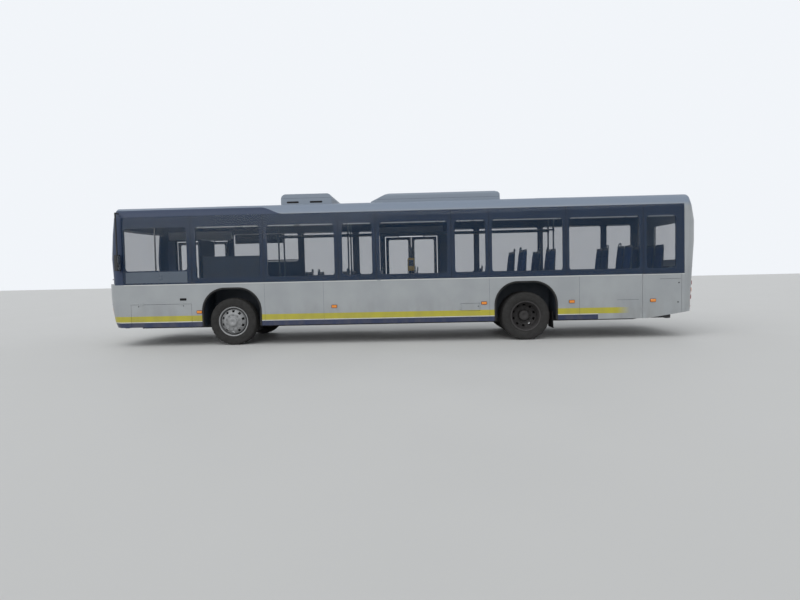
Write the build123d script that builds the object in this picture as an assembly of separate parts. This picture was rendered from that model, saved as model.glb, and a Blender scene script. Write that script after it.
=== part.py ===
from build123d import *
import math
import os

# City bus, in millimetres. X runs along the bus with the front towards -X, Z is up from the road,
# and the passenger doors are on the +Y side. A station is a distance behind the foremost point.

# Overall size
LENGTH = 11980
WIDTH = 2500
ROOF_TOP = 2880
FRONT_OVERHANG = 2700
WHEELBASE = 5875
REAR_AXLE_STATION = FRONT_OVERHANG + WHEELBASE
REAR_OVERHANG = LENGTH - REAR_AXLE_STATION

# Body section
SKIRT_Z = 395
WAIST_Z = 1262
EAVE_Z = ROOF_TOP - 262
TUMBLEHOME = 20
ROOF_RADIUS = 7770
COVE_RADIUS = 300
WALL = 50
FIT = 0.3

# Body ends
FRONT_BULGE = 200
FRONT_CORNER = 350
REAR_BULGE = 90
REAR_CORNER = 250
FRONT_PANEL_TOP = 1285
MASK_END = 500
REAR_START = LENGTH - 325
TAIL_RISE_START = LENGTH - 1030
TAIL_RISE_END = LENGTH - 260
TAIL_RISE = 118
TAIL_TIP_RISE = 133

# Glazing
GLASS = 6
PANE_GAP = 8
WINDOW_BOTTOM = 1370
WINDOW_TOP = EAVE_Z - 218
WINDOW_CORNER = 60
CAB_SILL = 1537

# Floor and underframe
FLOOR_TOP = 425
FLOOR_THICKNESS = 30
SILL_WIDTH = 50
SILL_TOP = 480
BEAM_WIDTH = 90
BEAM_DEPTH = 90
BEAM_Y = 420
MEMBER_END_DROP = 5
CROSS_WIDTH = 80
PLATFORM_TOP = 820
PLATFORM_START = REAR_AXLE_STATION + 0.4038 * REAR_OVERHANG
PLATFORM_PLATE = 30
STEP_DEPTH = 250
STEP_HALF_WIDTH = 330
BULKHEAD_STATION = LENGTH - 580
SHELF_Z = 1400
FLOOR_START = 480
SILL_DOOR_MARGIN = 135
# Cross members: stations ahead of the front axle, shares of the wheelbase, shares of the way to the bulkhead
FRONT_CROSS_STATIONS = (520, 1230, 1950)
MIDDLE_CROSS_SHARES = (0.128, 0.317, 0.5, 0.691, 0.878)
REAR_CROSS_SHARES = (0.292, 0.646, 0.982)
OUTRIGGER_DEPTH = 12
TOW_SOCKET_RADIUS = 20
TOW_SOCKET_DEPTH = 80
ENGINE_MARGIN = 50
ENGINE_WIDTH = 900
ENGINE_Y = -550
ENGINE_TOP = 780

# Wheels
TYRE_RADIUS = 478
TYRE_WIDTH = 276
RIM_RADIUS = 286
RIM_HALF_WIDTH = 112
FRONT_TRACK = 2100
REAR_TRACK = 1834
TWIN_SPACING = 310
KINGPIN_Y = 880
KINGPIN_RADIUS = 30
HUB_RADIUS = 95
STUB_RADIUS = 48
AXLE_BOTTOM = 135
AXLE_DEPTH = 80
AXLE_WIDTH = 100
AXLE_CLEARANCE = 6
STRUT_THICKNESS = 60
EAR_THICKNESS = 24
KINGPIN_HALF_HEIGHT = 160
KNUCKLE_RADIUS = 52
KNUCKLE_HEIGHT = 150
STUB_REACH = 60
RIM_SHEET = 12
RIM_LIP = 6
RIM_LIP_HEIGHT = 12
FRONT_DISC_EDGE = 88
FRONT_DISC_FACE = 158
FRONT_HUB_END = 188
DISC_FLAT_RADIUS = 170
BRAKE_FACE = 60
BRAKE_THICKNESS = 35
BRAKE_RADIUS = 215
REAR_DISC_EDGE = 55
REAR_HUB_RADIUS = 110
REAR_HUB_END = 112
REAR_HUB_REACH = 270
REAR_STUB_RADIUS = 60
PORTAL_Y = 610
PORTAL_THICKNESS = 60
PORTAL_HALF_LENGTH = 150
PORTAL_HEIGHT = 130
# Tyre section from the bead to the tread: inset from the widest place, share of the section height
TYRE_SECTION = ((26.5, 0), (26.5, 0.07), (13, 0.19), (0, 0.5), (6, 0.8), (16, 0.94), (34, 1))

# Wheel arches and boxes
ARCH_CORNER = 440
FRONT_ARCH_HALF = 575
FRONT_ARCH_TOP = 1140
REAR_ARCH_HALF = 590
REAR_ARCH_TOP = 1145
BOX_SHEET = 12
FRONT_BOX_INNER_Y = 510
REAR_BOX_INNER_Y = 530
BOX_MARGIN = 20
BOX_HEADROOM = 40

# Doors
DOOR_WIDTH = 1250
DOOR_TOP = EAVE_Z - 360
DOOR_EDGE_GAP = 14
DOOR_CENTRE_GAP = 10
DOOR_TOP_GAP = 18
DOOR_FLOOR_GAP = 32
LEAF_THICKNESS = 35
LEAF_FRAME = 62
LEAF_SILL = 150
LEAF_CORNER = 50
LEAF_GLASS_DEPTH = 5
DOOR_PIVOT_DEPTH = 92
DOOR_PIVOT_OUTSIDE = 40
POST_RADIUS = 18
ARM_WIDTH = 36
ARM_THICKNESS = 12
LUG_THICKNESS = 12
LUG_DROP = 8
LUG_OVERLAP = 3
HINGE_PIN_RADIUS = 8
HINGE_CLEARANCE = 0.6
HEADER_GAP = 20
HEADER_DEPTH = 150
HEADER_HEIGHT = 190

# Lids and flaps
LID_HALF_WIDTH = 880
LID_BOTTOM = 600
LID_TOP = 1340
LID_THICKNESS = 40
LID_GAP = 6
FLAP_THICKNESS = 22
FLAP_GAP = 5
HINGE_STAND_OFF = 4
HINGE_RADIUS = 4.5
HINGE_LENGTH = 40
HINGE_END = 25
HINGE_GAP = 0.5
HINGE_REACH = 35
HINGE_OVERLAP = 1
LID_HINGE_Y = 300
LID_HINGE_SEAT = 12

# Windscreen and rear window
SCREEN_HALF_WIDTH = 1120
SCREEN_BOTTOM = 1320
SCREEN_TOP = ROOF_TOP - 240
SCREEN_CORNER = 90
SCREEN_MARGIN = 70
REAR_WINDOW_HALF = 900
REAR_WINDOW_BOTTOM = 1470
REAR_WINDOW_TOP = ROOF_TOP - 500

# Seam between the lower front panel and the side walls
SEAM_BOTTOM_STATION = 420
SEAM_TOP_STATION = 330

# Lamps
HEADLAMP_Y = 760
HEADLAMP_WIDTH = 340
HEADLAMP_Z = 640
HEADLAMP_TOP = 830
LAMP_DEPTH = 45
TAIL_LAMP_Y = 960
TAIL_LAMP_WIDTH = 190
TAIL_LAMP_Z = 700
TAIL_LAMP_TOP = 1160
TAIL_LAMP_DEPTH = 35
MARKER_LENGTH = 100
MARKER_HEIGHT = 50
MARKER_DEPTH = 12

# Roof units
SMALL_UNIT_STATIONS = (3650, 4700)
SMALL_UNIT_TOP = ROOF_TOP + 180
SMALL_UNIT_HALF = 760
LONG_UNIT_TOP = ROOF_TOP + 140
LONG_UNIT_STEP = ROOF_TOP - 25
LONG_UNIT_HALF = 800
UNIT_EDGE = 50
SMALL_UNIT_CORNER = 100
UNIT_EMBED = 200
ROOF_BUTTON_STATION = 1270
ROOF_BUTTON_RADIUS = 75
ROOF_BUTTON_HEIGHT = 40

# Mirrors
MIRROR_STATION = 450
MIRROR_DEPTH = 80
MIRROR_WIDTH = 140
MIRROR_GAP = 20
MIRROR_BOTTOM = 1550
MIRROR_TOP = 1870
MIRROR_CORNER = 30
MIRROR_ARM_Z = ROOF_TOP - 180
MIRROR_ARM_RADIUS = 16

# Driver's place
CAB_END = 2040
CAB_INNER_Y = 330
CAB_DOOR_START = 1000
CAB_DOOR_TOP = 1350
PODIUM_HEIGHT = 150
DASH_RIGHT_Y = 420
DASH_SIDE_GAP = 30
DASH_SHELF_Z = 1100
DASH_FOOT_END = 560
# Side outlines of the dashboard: station, height
DASH_TOP_OUTLINE = ((100, 1060), (100, 1300), (420, 1300), (760, 1180), (760, 1100), (560, 1060))
DASH_FRONT_OUTLINE = ((100, 430), (100, 1080), (450, 1080), (450, 430))
PARTITION = 30
PARTITION_TOP = 2150
STEERING_STATION = 900
STEERING_Y = -720
STEERING_Z = 1300
STEERING_TILT = 30
STEERING_RADIUS = 225
STEERING_GRIP = 16
STEERING_COLUMN = 330
STEERING_COLUMN_RADIUS = 35
STEERING_SPOKE_WIDTH = 40
STEERING_BOSS_RADIUS = 55
STEERING_BOSS_HEIGHT = 40
DRIVER_SEAT_STATION = 1700
DRIVER_SEAT_WIDTH = 480
DRIVER_SEAT_HEIGHT = 420
DRIVER_PEDESTAL_HALF = 125
PEDESTAL_FRONT = 330
PEDESTAL_BACK = 110
HEADREST_FRONT = 20
HEADREST_DEPTH = 50
HEADREST_TOP = 800
CABINET_INNER_Y = 700
CABINET_TOP = 1800

# Passenger seats and rails
SEAT_HEIGHT = 400
SEAT_PAIR_Y = 720
SEAT_PAIR_WIDTH = 880
BENCH_WIDTH = 2180
BENCH_GAP = 80
PLATFORM_PITCH = 700
PEDESTAL_HALF = 60
# Side outline of a seat: distance behind the foot of its back, height above the cushion's underside
SEAT_OUTLINE = ((-430, 0), (-430, 70), (-60, 50), (10, 620), (55, 620), (20, 0))
RAIL_Y = 250
RAIL_Z = 2230
RAIL_RADIUS = 17

FRONT_X = -LENGTH / 2
REAR_X = LENGTH / 2
HALF_WIDTH = WIDTH / 2
FAR = 2 * LENGTH


def station(distance):
    """Place along X of a distance behind the foremost point."""
    return FRONT_X + distance


FRONT_AXLE_X = station(FRONT_OVERHANG)
REAR_AXLE_X = FRONT_AXLE_X + WHEELBASE

# Ends of the glass panes, at the middle of each pillar
PANE_ENDS = (
    MASK_END,
    1910,
    3370,
    4873,
    5625,
    REAR_AXLE_STATION - 1455,
    REAR_AXLE_STATION - 715,
    REAR_AXLE_STATION + 795,
    LENGTH - 1115,
    REAR_START,
)
# The clear part of each pane: margin at its front end, margin at its rear end, lowest edge
WINDOW_MARGINS = (
    (40, 90, CAB_SILL),
    (90, 74, WINDOW_BOTTOM),
    (75, 79, WINDOW_BOTTOM),
    (79, 76, WINDOW_BOTTOM),
    (77, 75, WINDOW_BOTTOM),
    (76, 67, WINDOW_BOTTOM),
    (64, 63, WINDOW_BOTTOM),
    (63, 70, WINDOW_BOTTOM),
    (65, 160, WINDOW_BOTTOM),
)
# On the right, two pillars stand further back and the window behind the front door starts higher
RIGHT_PANE_ENDS = (*PANE_ENDS[:2], 3640, 4970, *PANE_ENDS[4:])
RIGHT_FIRST_SILL = 1720
RIGHT_MARGINS = (WINDOW_MARGINS[0], (90, 74, RIGHT_FIRST_SILL), *WINDOW_MARGINS[2:])


def clear_windows(pane_ends, margins):
    """The clear part of each pane: first station, last station, lowest edge."""
    rows = zip(pane_ends[:-1], pane_ends[1:], margins)
    return [(first + front, last - rear, lowest) for first, last, (front, rear, lowest) in rows]


LEFT_WINDOWS = clear_windows(PANE_ENDS, WINDOW_MARGINS)
DOOR_CENTRES = {"front": 1230, "middle": FRONT_OVERHANG + 3600}
PANES_AT_DOORS = (0, 4)
all_right_windows = clear_windows(RIGHT_PANE_ENDS, RIGHT_MARGINS)
RIGHT_WINDOWS = [row for number, row in enumerate(all_right_windows) if number not in PANES_AT_DOORS]

# Lower edge of the dark glazing band: station, height
BAND_LOWER_EDGE = ((MASK_END, WAIST_Z), (REAR_START, WAIST_Z))

# Front face above the lower panel, down the middle: height, set back from the foremost point
FRONT_UPPER_ROWS = (
    (FRONT_PANEL_TOP, 65),
    (1800, 42),
    (ROOF_TOP - 580, 80),
    (ROOF_TOP - 280, 118),
    (ROOF_TOP - 140, 160),
    (ROOF_TOP - 60, 225),
    (ROOF_TOP + 20, 470),
)
# Lower front panel and bumper: height, set back
FRONT_LOWER_ROWS = ((SKIRT_Z, 110), (515, 60), (820, 15), (1120, 0), (FRONT_PANEL_TOP, 0))
# Rear face: height, set back
REAR_ROWS = (
    (SKIRT_Z, 85),
    (1285, 40),
    (1900, 0),
    (ROOF_TOP - 580, 0),
    (ROOF_TOP - 280, 50),
    (ROOF_TOP - 140, 100),
    (ROOF_TOP - 60, 160),
    (ROOF_TOP + 20, 380),
)


def block(x_from, x_to, y_from, y_to, z_from, z_to):
    """Box between two limits on each axis."""
    centre = Pos((x_from + x_to) / 2, (y_from + y_to) / 2, (z_from + z_to) / 2)
    return centre * Box(x_to - x_from, y_to - y_from, z_to - z_from)


def side_slab(face, y_from, y_to):
    """A face drawn in the side view, X and Z, made thick between two Y limits."""
    return Pos(0, y_to, 0) * extrude(Plane.XZ * face, y_to - y_from)


def side_polygon(points, y_from, y_to):
    """A side view polygon of stations and heights, made thick between two Y limits."""
    outline = Polyline([(station(s), z) for s, z in points], close=True)
    return side_slab(make_face(outline), y_from, y_to)


def side_rectangle(s_from, s_to, z_from, z_to, radius, y_from, y_to):
    """A rounded rectangle in the side view, made thick between two Y limits."""
    centre = Pos(station((s_from + s_to) / 2), (z_from + z_to) / 2)
    return side_slab(centre * RectangleRounded(s_to - s_from, z_to - z_from, radius), y_from, y_to)


def rod(start, end, radius):
    """A straight round bar between two points."""
    plane = Plane(origin=start, z_dir=Vector(*end) - Vector(*start))
    return extrude(plane * Circle(radius), (Vector(*end) - Vector(*start)).length)


def flipped(shape):
    """The same piece on the other side of the bus."""
    return mirror(shape, about=Plane.XZ)


def body_section(inset, bottom):
    """Outline across the body, drawn in from the outside by inset."""
    half = HALF_WIDTH - inset
    eave_half = half - TUMBLEHOME
    radius = ROOF_RADIUS - inset
    centre_z = ROOF_TOP - ROOF_RADIUS
    corner_z = centre_z + math.sqrt(radius**2 - eave_half**2)
    left_side_points = ((-eave_half, corner_z), (-half, WAIST_Z), (-half, bottom))
    right_side_points = ((half, bottom), (half, WAIST_Z), (eave_half, corner_z))
    sides = Polyline(*left_side_points, *right_side_points)
    crown = ThreePointArc((eave_half, corner_z), (0, centre_z + radius), (-eave_half, corner_z))
    face = make_face(sides + crown)
    return fillet(face.vertices().group_by(Axis.Y)[-1], COVE_RADIUS - inset)


def body_prism(inset, s_from, s_to, bottom=0):
    """The solid body between two stations, drawn in from the outside by inset."""
    face = body_section(inset, bottom)
    return Pos(station(s_from), 0, 0) * extrude(Plane.YZ * face, s_to - s_from)


def skin(outer, inner, s_from, s_to):
    """A layer of the body's side and roof between two depths, over a length."""
    return body_prism(outer, s_from, s_to) - body_prism(inner, s_from - 1, s_to + 1)


def end_loft(rows, bulge, corner):
    """Solid nose that points to -X and reaches back to the middle of the bus."""
    faces = []
    for height, set_back in rows:
        tip = FRONT_X + set_back
        edge = tip + bulge
        sides = Polyline((edge, HALF_WIDTH), (0, HALF_WIDTH), (0, -HALF_WIDTH), (edge, -HALF_WIDTH))
        nose = ThreePointArc((edge, -HALF_WIDTH), (tip, 0), (edge, HALF_WIDTH))
        face = make_face(sides + nose)
        rounded = fillet(face.vertices().group_by(Axis.X)[0], corner)
        faces.append(Pos(0, 0, height) * rounded)
    return loft(faces, ruled=True)


def end_layer(solid, depth_from, depth_to, direction):
    """A layer of a body end between two depths, measured along the bus."""
    return Pos(direction * depth_from, 0, 0) * solid - Pos(direction * depth_to, 0, 0) * solid


def save(name, shapes):
    """Write the solids of one node to its file."""
    solids = [solid for shape in shapes for solid in shape.solids()]
    export_step(Compound(solids), f"parts/{name}.step")


os.makedirs("parts", exist_ok=True)

# Solid body shapes that the panels are cut from
body = body_prism(0, 0, LENGTH)
cabin_space = body_prism(WALL, -WALL, LENGTH + WALL)
inside = body_prism(WALL + FIT, -WALL, LENGTH + WALL)
front_nose = end_loft(FRONT_UPPER_ROWS, FRONT_BULGE, FRONT_CORNER)
front_lower_nose = end_loft(FRONT_LOWER_ROWS, FRONT_BULGE, FRONT_CORNER)
rear_nose = mirror(end_loft(REAR_ROWS, REAR_BULGE, REAR_CORNER), about=Plane.YZ)
past_the_end = LENGTH + 100
tail_outline = (
    (TAIL_RISE_START, 0),
    (TAIL_RISE_START, SKIRT_Z),
    (TAIL_RISE_END, SKIRT_Z + TAIL_RISE),
    (past_the_end, SKIRT_Z + TAIL_TIP_RISE),
    (past_the_end, 0),
)
below_tail = side_polygon(tail_outline, -HALF_WIDTH - 1, HALF_WIDTH + 1)


def hollow_end(nose, direction):
    """A body end as a shell of wall thickness, open towards the middle of the bus."""
    return (nose & body) - (Pos(direction * WALL, 0, 0) * nose & cabin_space)


def across_rectangle(half_width, z_from, z_to, radius, x_from, x_to):
    """A rounded rectangle in the end view, made thick between two X limits."""
    face = Plane.YZ * (Pos(0, (z_from + z_to) / 2) * RectangleRounded(2 * half_width, z_to - z_from, radius))
    return Pos(x_from, 0, 0) * extrude(face, x_to - x_from)


def both_sides(x_from, x_to, y_from, y_to, z_from, z_to):
    """A pair of boxes, one on each side of the bus."""
    right = block(x_from, x_to, y_from, y_to, z_from, z_to)
    return right + flipped(right)


def hinge(point, along, towards, depth):
    """The moving and the fixed half of a barrel hinge: its middle, pin direction, lid direction and seat."""
    place = Plane(origin=point, x_dir=towards, z_dir=along)
    strap = Pos(HINGE_REACH / 2, depth / 2, 0) * Box(HINGE_REACH, depth, HINGE_LENGTH)
    moving = strap + Cylinder(HINGE_RADIUS, HINGE_LENGTH)
    end = Pos(-HINGE_REACH / 2, depth / 2, 0) * Box(HINGE_REACH, depth, HINGE_END)
    end += Cylinder(HINGE_RADIUS, HINGE_END)
    shift = HINGE_LENGTH / 2 + HINGE_GAP + HINGE_END / 2
    return place * moving, place * (Pos(0, 0, shift) * end + Pos(0, 0, -shift) * end)


# Front mask round the windscreen
glass_depth = GLASS + FIT
mask_x = station(MASK_END)
screen_zone = across_rectangle(
    SCREEN_HALF_WIDTH, SCREEN_BOTTOM, SCREEN_TOP, SCREEN_CORNER, FRONT_X - 1, mask_x
)
screen_rebate = across_rectangle(
    SCREEN_HALF_WIDTH + FIT, SCREEN_BOTTOM - FIT, SCREEN_TOP + FIT, SCREEN_CORNER, FRONT_X - 1, mask_x
)
screen_opening = across_rectangle(
    SCREEN_HALF_WIDTH - SCREEN_MARGIN,
    SCREEN_BOTTOM + SCREEN_MARGIN,
    SCREEN_TOP - SCREEN_MARGIN,
    SCREEN_CORNER,
    FRONT_X - 1,
    mask_x - WALL,
)
mask = hollow_end(front_nose, 1) & block(FRONT_X - 1, mask_x, -FAR, FAR, FRONT_PANEL_TOP, ROOF_TOP + 1)
mask -= screen_opening
mask -= end_layer(front_nose, -1, glass_depth, 1) & screen_rebate
save("front_mask", [mask])
save("windscreen", [end_layer(front_nose, 0, GLASS, 1) & screen_zone])

# Lower front panel with its lamps
wall_front_edge = ((SEAM_BOTTOM_STATION, SKIRT_Z), (SEAM_TOP_STATION, FRONT_PANEL_TOP))
front_outline = ((-100, SKIRT_Z), *wall_front_edge, (-100, FRONT_PANEL_TOP))
front_zone = side_polygon(front_outline, -HALF_WIDTH - 1, HALF_WIDTH + 1)
headlamp_end = HEADLAMP_Y + HEADLAMP_WIDTH
lamp_pocket = both_sides(
    FRONT_X, mask_x, HEADLAMP_Y - FIT, headlamp_end + FIT, HEADLAMP_Z - FIT, HEADLAMP_TOP + FIT
)
lamp_block = both_sides(FRONT_X, mask_x, HEADLAMP_Y, headlamp_end, HEADLAMP_Z, HEADLAMP_TOP)
front_panel = hollow_end(front_lower_nose, 1) & front_zone
front_panel -= end_layer(front_lower_nose, -1, LAMP_DEPTH + FIT, 1) & lamp_pocket
save("front_panel", [front_panel])
save("headlamps", [end_layer(front_lower_nose, 0, LAMP_DEPTH, 1) & lamp_block])

# Rear shell with its window, engine lid and lamps
rear_end = station(LENGTH) + 1
rear_from = station(REAR_START)
rear_cut_from = rear_from + WALL
lid_opening = block(rear_cut_from, rear_end, -LID_HALF_WIDTH, LID_HALF_WIDTH, LID_BOTTOM, LID_TOP)
rear_pane_zone = across_rectangle(
    REAR_WINDOW_HALF, REAR_WINDOW_BOTTOM, REAR_WINDOW_TOP, WINDOW_CORNER, rear_cut_from, rear_end
)
rear_pane_rebate = across_rectangle(
    REAR_WINDOW_HALF + FIT,
    REAR_WINDOW_BOTTOM - FIT,
    REAR_WINDOW_TOP + FIT,
    WINDOW_CORNER,
    rear_cut_from,
    rear_end,
)
rear_opening = across_rectangle(
    REAR_WINDOW_HALF - SCREEN_MARGIN,
    REAR_WINDOW_BOTTOM + SCREEN_MARGIN,
    REAR_WINDOW_TOP - SCREEN_MARGIN,
    WINDOW_CORNER,
    rear_cut_from,
    rear_end,
)
tail_lamp_end = TAIL_LAMP_Y + TAIL_LAMP_WIDTH
tail_block = both_sides(rear_from, rear_end, TAIL_LAMP_Y, tail_lamp_end, TAIL_LAMP_Z, TAIL_LAMP_TOP)
tail_pocket = both_sides(
    rear_from, rear_end, TAIL_LAMP_Y - FIT, tail_lamp_end + FIT, TAIL_LAMP_Z - FIT, TAIL_LAMP_TOP + FIT
)
rear_shell = hollow_end(rear_nose, -1) & block(rear_from, rear_end, -FAR, FAR, SKIRT_Z, ROOF_TOP + 1)
rear_shell -= below_tail
rear_shell -= lid_opening
rear_shell -= rear_opening
rear_shell -= end_layer(rear_nose, -1, glass_depth, -1) & rear_pane_rebate
rear_shell -= end_layer(rear_nose, -1, TAIL_LAMP_DEPTH + FIT, -1) & tail_pocket
save("tail_lamps", [end_layer(rear_nose, 0, TAIL_LAMP_DEPTH, -1) & tail_block])
lid_half = LID_HALF_WIDTH - LID_GAP
lid_zone = block(rear_cut_from, rear_end, -lid_half, lid_half, LID_BOTTOM + LID_GAP, LID_TOP - LID_GAP)
engine_lid = end_layer(rear_nose, 0, LID_THICKNESS, -1) & lid_zone
lid_axis_z = LID_TOP - LID_GAP / 2
lid_edge = body & rear_nose & block(rear_from, rear_end, -1, 1, lid_axis_z - 1, lid_axis_z + 1)
lid_axis_x = lid_edge.bounding_box().max.X + HINGE_STAND_OFF
for hinge_y in (-LID_HINGE_Y, LID_HINGE_Y):
    moving, fixed = hinge((lid_axis_x, hinge_y, lid_axis_z), (0, 1, 0), (0, 0, -1), LID_HINGE_SEAT)
    engine_lid += moving
    rear_shell += fixed
save("engine_lid", [engine_lid])
save("rear_shell", [rear_shell])

# Side walls and roof
wall_outline = (
    *wall_front_edge,
    (MASK_END, FRONT_PANEL_TOP),
    (MASK_END, EAVE_Z),
    (REAR_START, EAVE_Z),
    (REAR_START, SKIRT_Z),
)
left_side = (-HALF_WIDTH - 1, -HALF_WIDTH / 2)
wall_zone = side_polygon(wall_outline, *left_side) - below_tail
band_outline = (*BAND_LOWER_EDGE, (REAR_START, EAVE_Z + 1), (MASK_END, EAVE_Z + 1))
band_zone = side_polygon(band_outline, *left_side)
lowered_edge = [(s, z + FIT) for s, z in BAND_LOWER_EDGE]
pane_zone = side_polygon((*lowered_edge, (REAR_START, EAVE_Z - FIT), (MASK_END, EAVE_Z - FIT)), *left_side)
plain_wall = (skin(0, WALL, SEAM_TOP_STATION - WALL, REAR_START) & wall_zone) - (
    skin(-1, glass_depth, MASK_END, REAR_START) & band_zone
)
arches = (
    (FRONT_OVERHANG, FRONT_ARCH_HALF, FRONT_ARCH_TOP),
    (REAR_AXLE_STATION, REAR_ARCH_HALF, REAR_ARCH_TOP),
)
for axle_station, half, top in arches:
    plain_wall -= side_rectangle(axle_station - half, axle_station + half, -top, top, ARCH_CORNER, *left_side)


def cut_windows(wall, windows):
    """Cut the clear part of each side window."""
    for first, last, lowest in windows:
        wall -= side_rectangle(first, last, lowest, WINDOW_TOP, WINDOW_CORNER, *left_side)
    return wall


# Flaps on the left side: first station, last station, lowest edge, highest edge
BAND_LIP = 3
FLAPS = {
    "locker_flap": (640, 1885, SKIRT_Z - 1, 860),
    "fuel_flap": (REAR_AXLE_STATION - 1285, REAR_AXLE_STATION - 905, 606, 757),
    "engine_side_door": (LENGTH - 1140, LENGTH - 380, SKIRT_Z - 1, WAIST_Z - BAND_LIP),
}
# Hinges of the flaps: stations along the locker flap's upper edge, heights up the others' front edges
FLAP_HINGES = {"locker_flap": (860, 1665), "fuel_flap": (681.5,), "engine_side_door": (560, 1100)}
hinge_y = -HALF_WIDTH - HINGE_STAND_OFF
left_wall = cut_windows(plain_wall, LEFT_WINDOWS)
flap_layer = skin(0, FLAP_THICKNESS, SEAM_TOP_STATION, REAR_START) - below_tail
flap_shapes = {}
for name, (first, last, low, high) in FLAPS.items():
    left_wall -= side_polygon(((first, low), (last, low), (last, high), (first, high)), *left_side)
    low_gap = FLAP_GAP if low > SKIRT_Z else 0
    flap_outline = (
        (first + FLAP_GAP, max(low + low_gap, SKIRT_Z)),
        (last - FLAP_GAP, max(low + low_gap, SKIRT_Z)),
        (last - FLAP_GAP, high - FLAP_GAP),
        (first + FLAP_GAP, high - FLAP_GAP),
    )
    flap_shapes[name] = flap_layer & side_polygon(flap_outline, *left_side)
    for place in FLAP_HINGES[name]:
        if name == "locker_flap":
            hinge_place = ((station(place), hinge_y, high - FLAP_GAP / 2), (1, 0, 0), (0, 0, -1))
        else:
            hinge_place = ((station(first + FLAP_GAP / 2), hinge_y, place), (0, 0, 1), (1, 0, 0))
        moving, fixed = hinge(*hinge_place, HINGE_STAND_OFF + HINGE_OVERLAP)
        flap_shapes[name] += moving
        left_wall += fixed
save("locker_flap", [flap_shapes["locker_flap"]])
save("fuel_flap", [flap_shapes["fuel_flap"]])
engine_side_door = flap_shapes["engine_side_door"]
save("side_wall_left", [left_wall])

right_wall = cut_windows(plain_wall, RIGHT_WINDOWS)
half_door = DOOR_WIDTH / 2
door_edges = {name: (centre - half_door, centre + half_door) for name, centre in DOOR_CENTRES.items()}
for first, last in door_edges.values():
    right_wall -= side_polygon(((first, 0), (last, 0), (last, DOOR_TOP), (first, DOOR_TOP)), *left_side)
save("side_wall_right", [flipped(right_wall)])

roof_panel = skin(0, WALL, MASK_END, REAR_START) & block(-FAR, FAR, -FAR, FAR, EAVE_Z, ROOF_TOP + 1)
button_x = station(ROOF_BUTTON_STATION)
button_top = ROOF_TOP + ROOF_BUTTON_HEIGHT
roof_panel += rod((button_x, 0, ROOF_TOP - 10), (button_x, 0, button_top), ROOF_BUTTON_RADIUS)
save("roof_panel", [roof_panel])

pane_layer = skin(0, GLASS, MASK_END, REAR_START) & pane_zone


def panes(pane_ends):
    """The glass between each two pillars, on the left."""
    cut = []
    for first, last in zip(pane_ends[:-1], pane_ends[1:]):
        slot = block(station(first) + PANE_GAP / 2, station(last) - PANE_GAP / 2, -FAR, FAR, 0, FAR)
        cut.append(pane_layer & slot)
    return cut


left_panes = panes(PANE_ENDS)
right_panes = []
for pane in panes(RIGHT_PANE_ENDS):
    for door_first, door_last in door_edges.values():
        pane -= block(station(door_first) - FIT, station(door_last) + FIT, -FAR, FAR, 0, DOOR_TOP + FIT)
    right_panes.append(flipped(pane))
save("body_windows", [*left_panes, *right_panes, end_layer(rear_nose, 0, GLASS, -1) & rear_pane_zone])

# Floor, rear platform and underframe
floor_bottom = FLOOR_TOP - FLOOR_THICKNESS
floor_edge = HALF_WIDTH - WALL - SILL_WIDTH
inner_face = HALF_WIDTH - WALL
platform_x = station(PLATFORM_START)
bulkhead_x = station(BULKHEAD_STATION)
# Wheel boxes: axle place, half length, inner wall, top
WHEEL_BOXES = (
    (FRONT_AXLE_X, FRONT_ARCH_HALF + BOX_MARGIN, FRONT_BOX_INNER_Y, FRONT_ARCH_TOP + BOX_HEADROOM),
    (REAR_AXLE_X, REAR_ARCH_HALF + BOX_MARGIN, REAR_BOX_INNER_Y, REAR_ARCH_TOP + BOX_HEADROOM),
)
floor = block(station(FLOOR_START), platform_x, -floor_edge, floor_edge, floor_bottom, FLOOR_TOP)
sills = both_sides(station(FLOOR_START), bulkhead_x, floor_edge, inner_face, floor_bottom, SILL_TOP)
housings = []
for axle_x, half, inner_y, top in WHEEL_BOXES:
    floor -= both_sides(axle_x - half, axle_x + half, inner_y, HALF_WIDTH, 0, top)
    sills -= both_sides(axle_x - half, axle_x + half, inner_y, HALF_WIDTH, 0, top)
    outer_box = block(axle_x - half, axle_x + half, inner_y, inner_face - FIT, floor_bottom, top)
    hollow_half = half - BOX_SHEET
    hollow = block(
        axle_x - hollow_half, axle_x + hollow_half, inner_y + BOX_SHEET, HALF_WIDTH, 0, top - BOX_SHEET
    )
    housings += [outer_box - hollow, flipped(outer_box - hollow)]
for first, last in door_edges.values():
    low_from = station(first) - SILL_DOOR_MARGIN
    low_to = station(last) + SILL_DOOR_MARGIN
    sills -= block(low_from, low_to, 0, HALF_WIDTH, FLOOR_TOP, SILL_TOP + 1)
save("side_sills", [sills])
save("floor", [floor & inside])
plate_bottom = PLATFORM_TOP - PLATFORM_PLATE
riser_x = platform_x - PLATFORM_PLATE
platform = block(riser_x, platform_x, -floor_edge, floor_edge, FLOOR_TOP, PLATFORM_TOP)
for index in (1, 2):
    tread_z = FLOOR_TOP + (PLATFORM_TOP - FLOOR_TOP) * index / 3
    tread_x = platform_x - STEP_DEPTH * (3 - index)
    platform += block(tread_x, riser_x + 1, -STEP_HALF_WIDTH, STEP_HALF_WIDTH, FLOOR_TOP, tread_z)
platform += block(platform_x - 1, bulkhead_x, -inner_face, inner_face, plate_bottom, PLATFORM_TOP)
platform += block(bulkhead_x - PLATFORM_PLATE, bulkhead_x, -inner_face, inner_face, PLATFORM_TOP - 1, SHELF_Z)
shelf = block(bulkhead_x - 1, rear_end, -inner_face, inner_face, SHELF_Z - PLATFORM_PLATE, SHELF_Z)
platform += shelf & Pos(-WALL - FIT, 0, 0) * rear_nose
save("rear_platform", [platform & inside])
save("wheel_boxes", housings)

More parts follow.
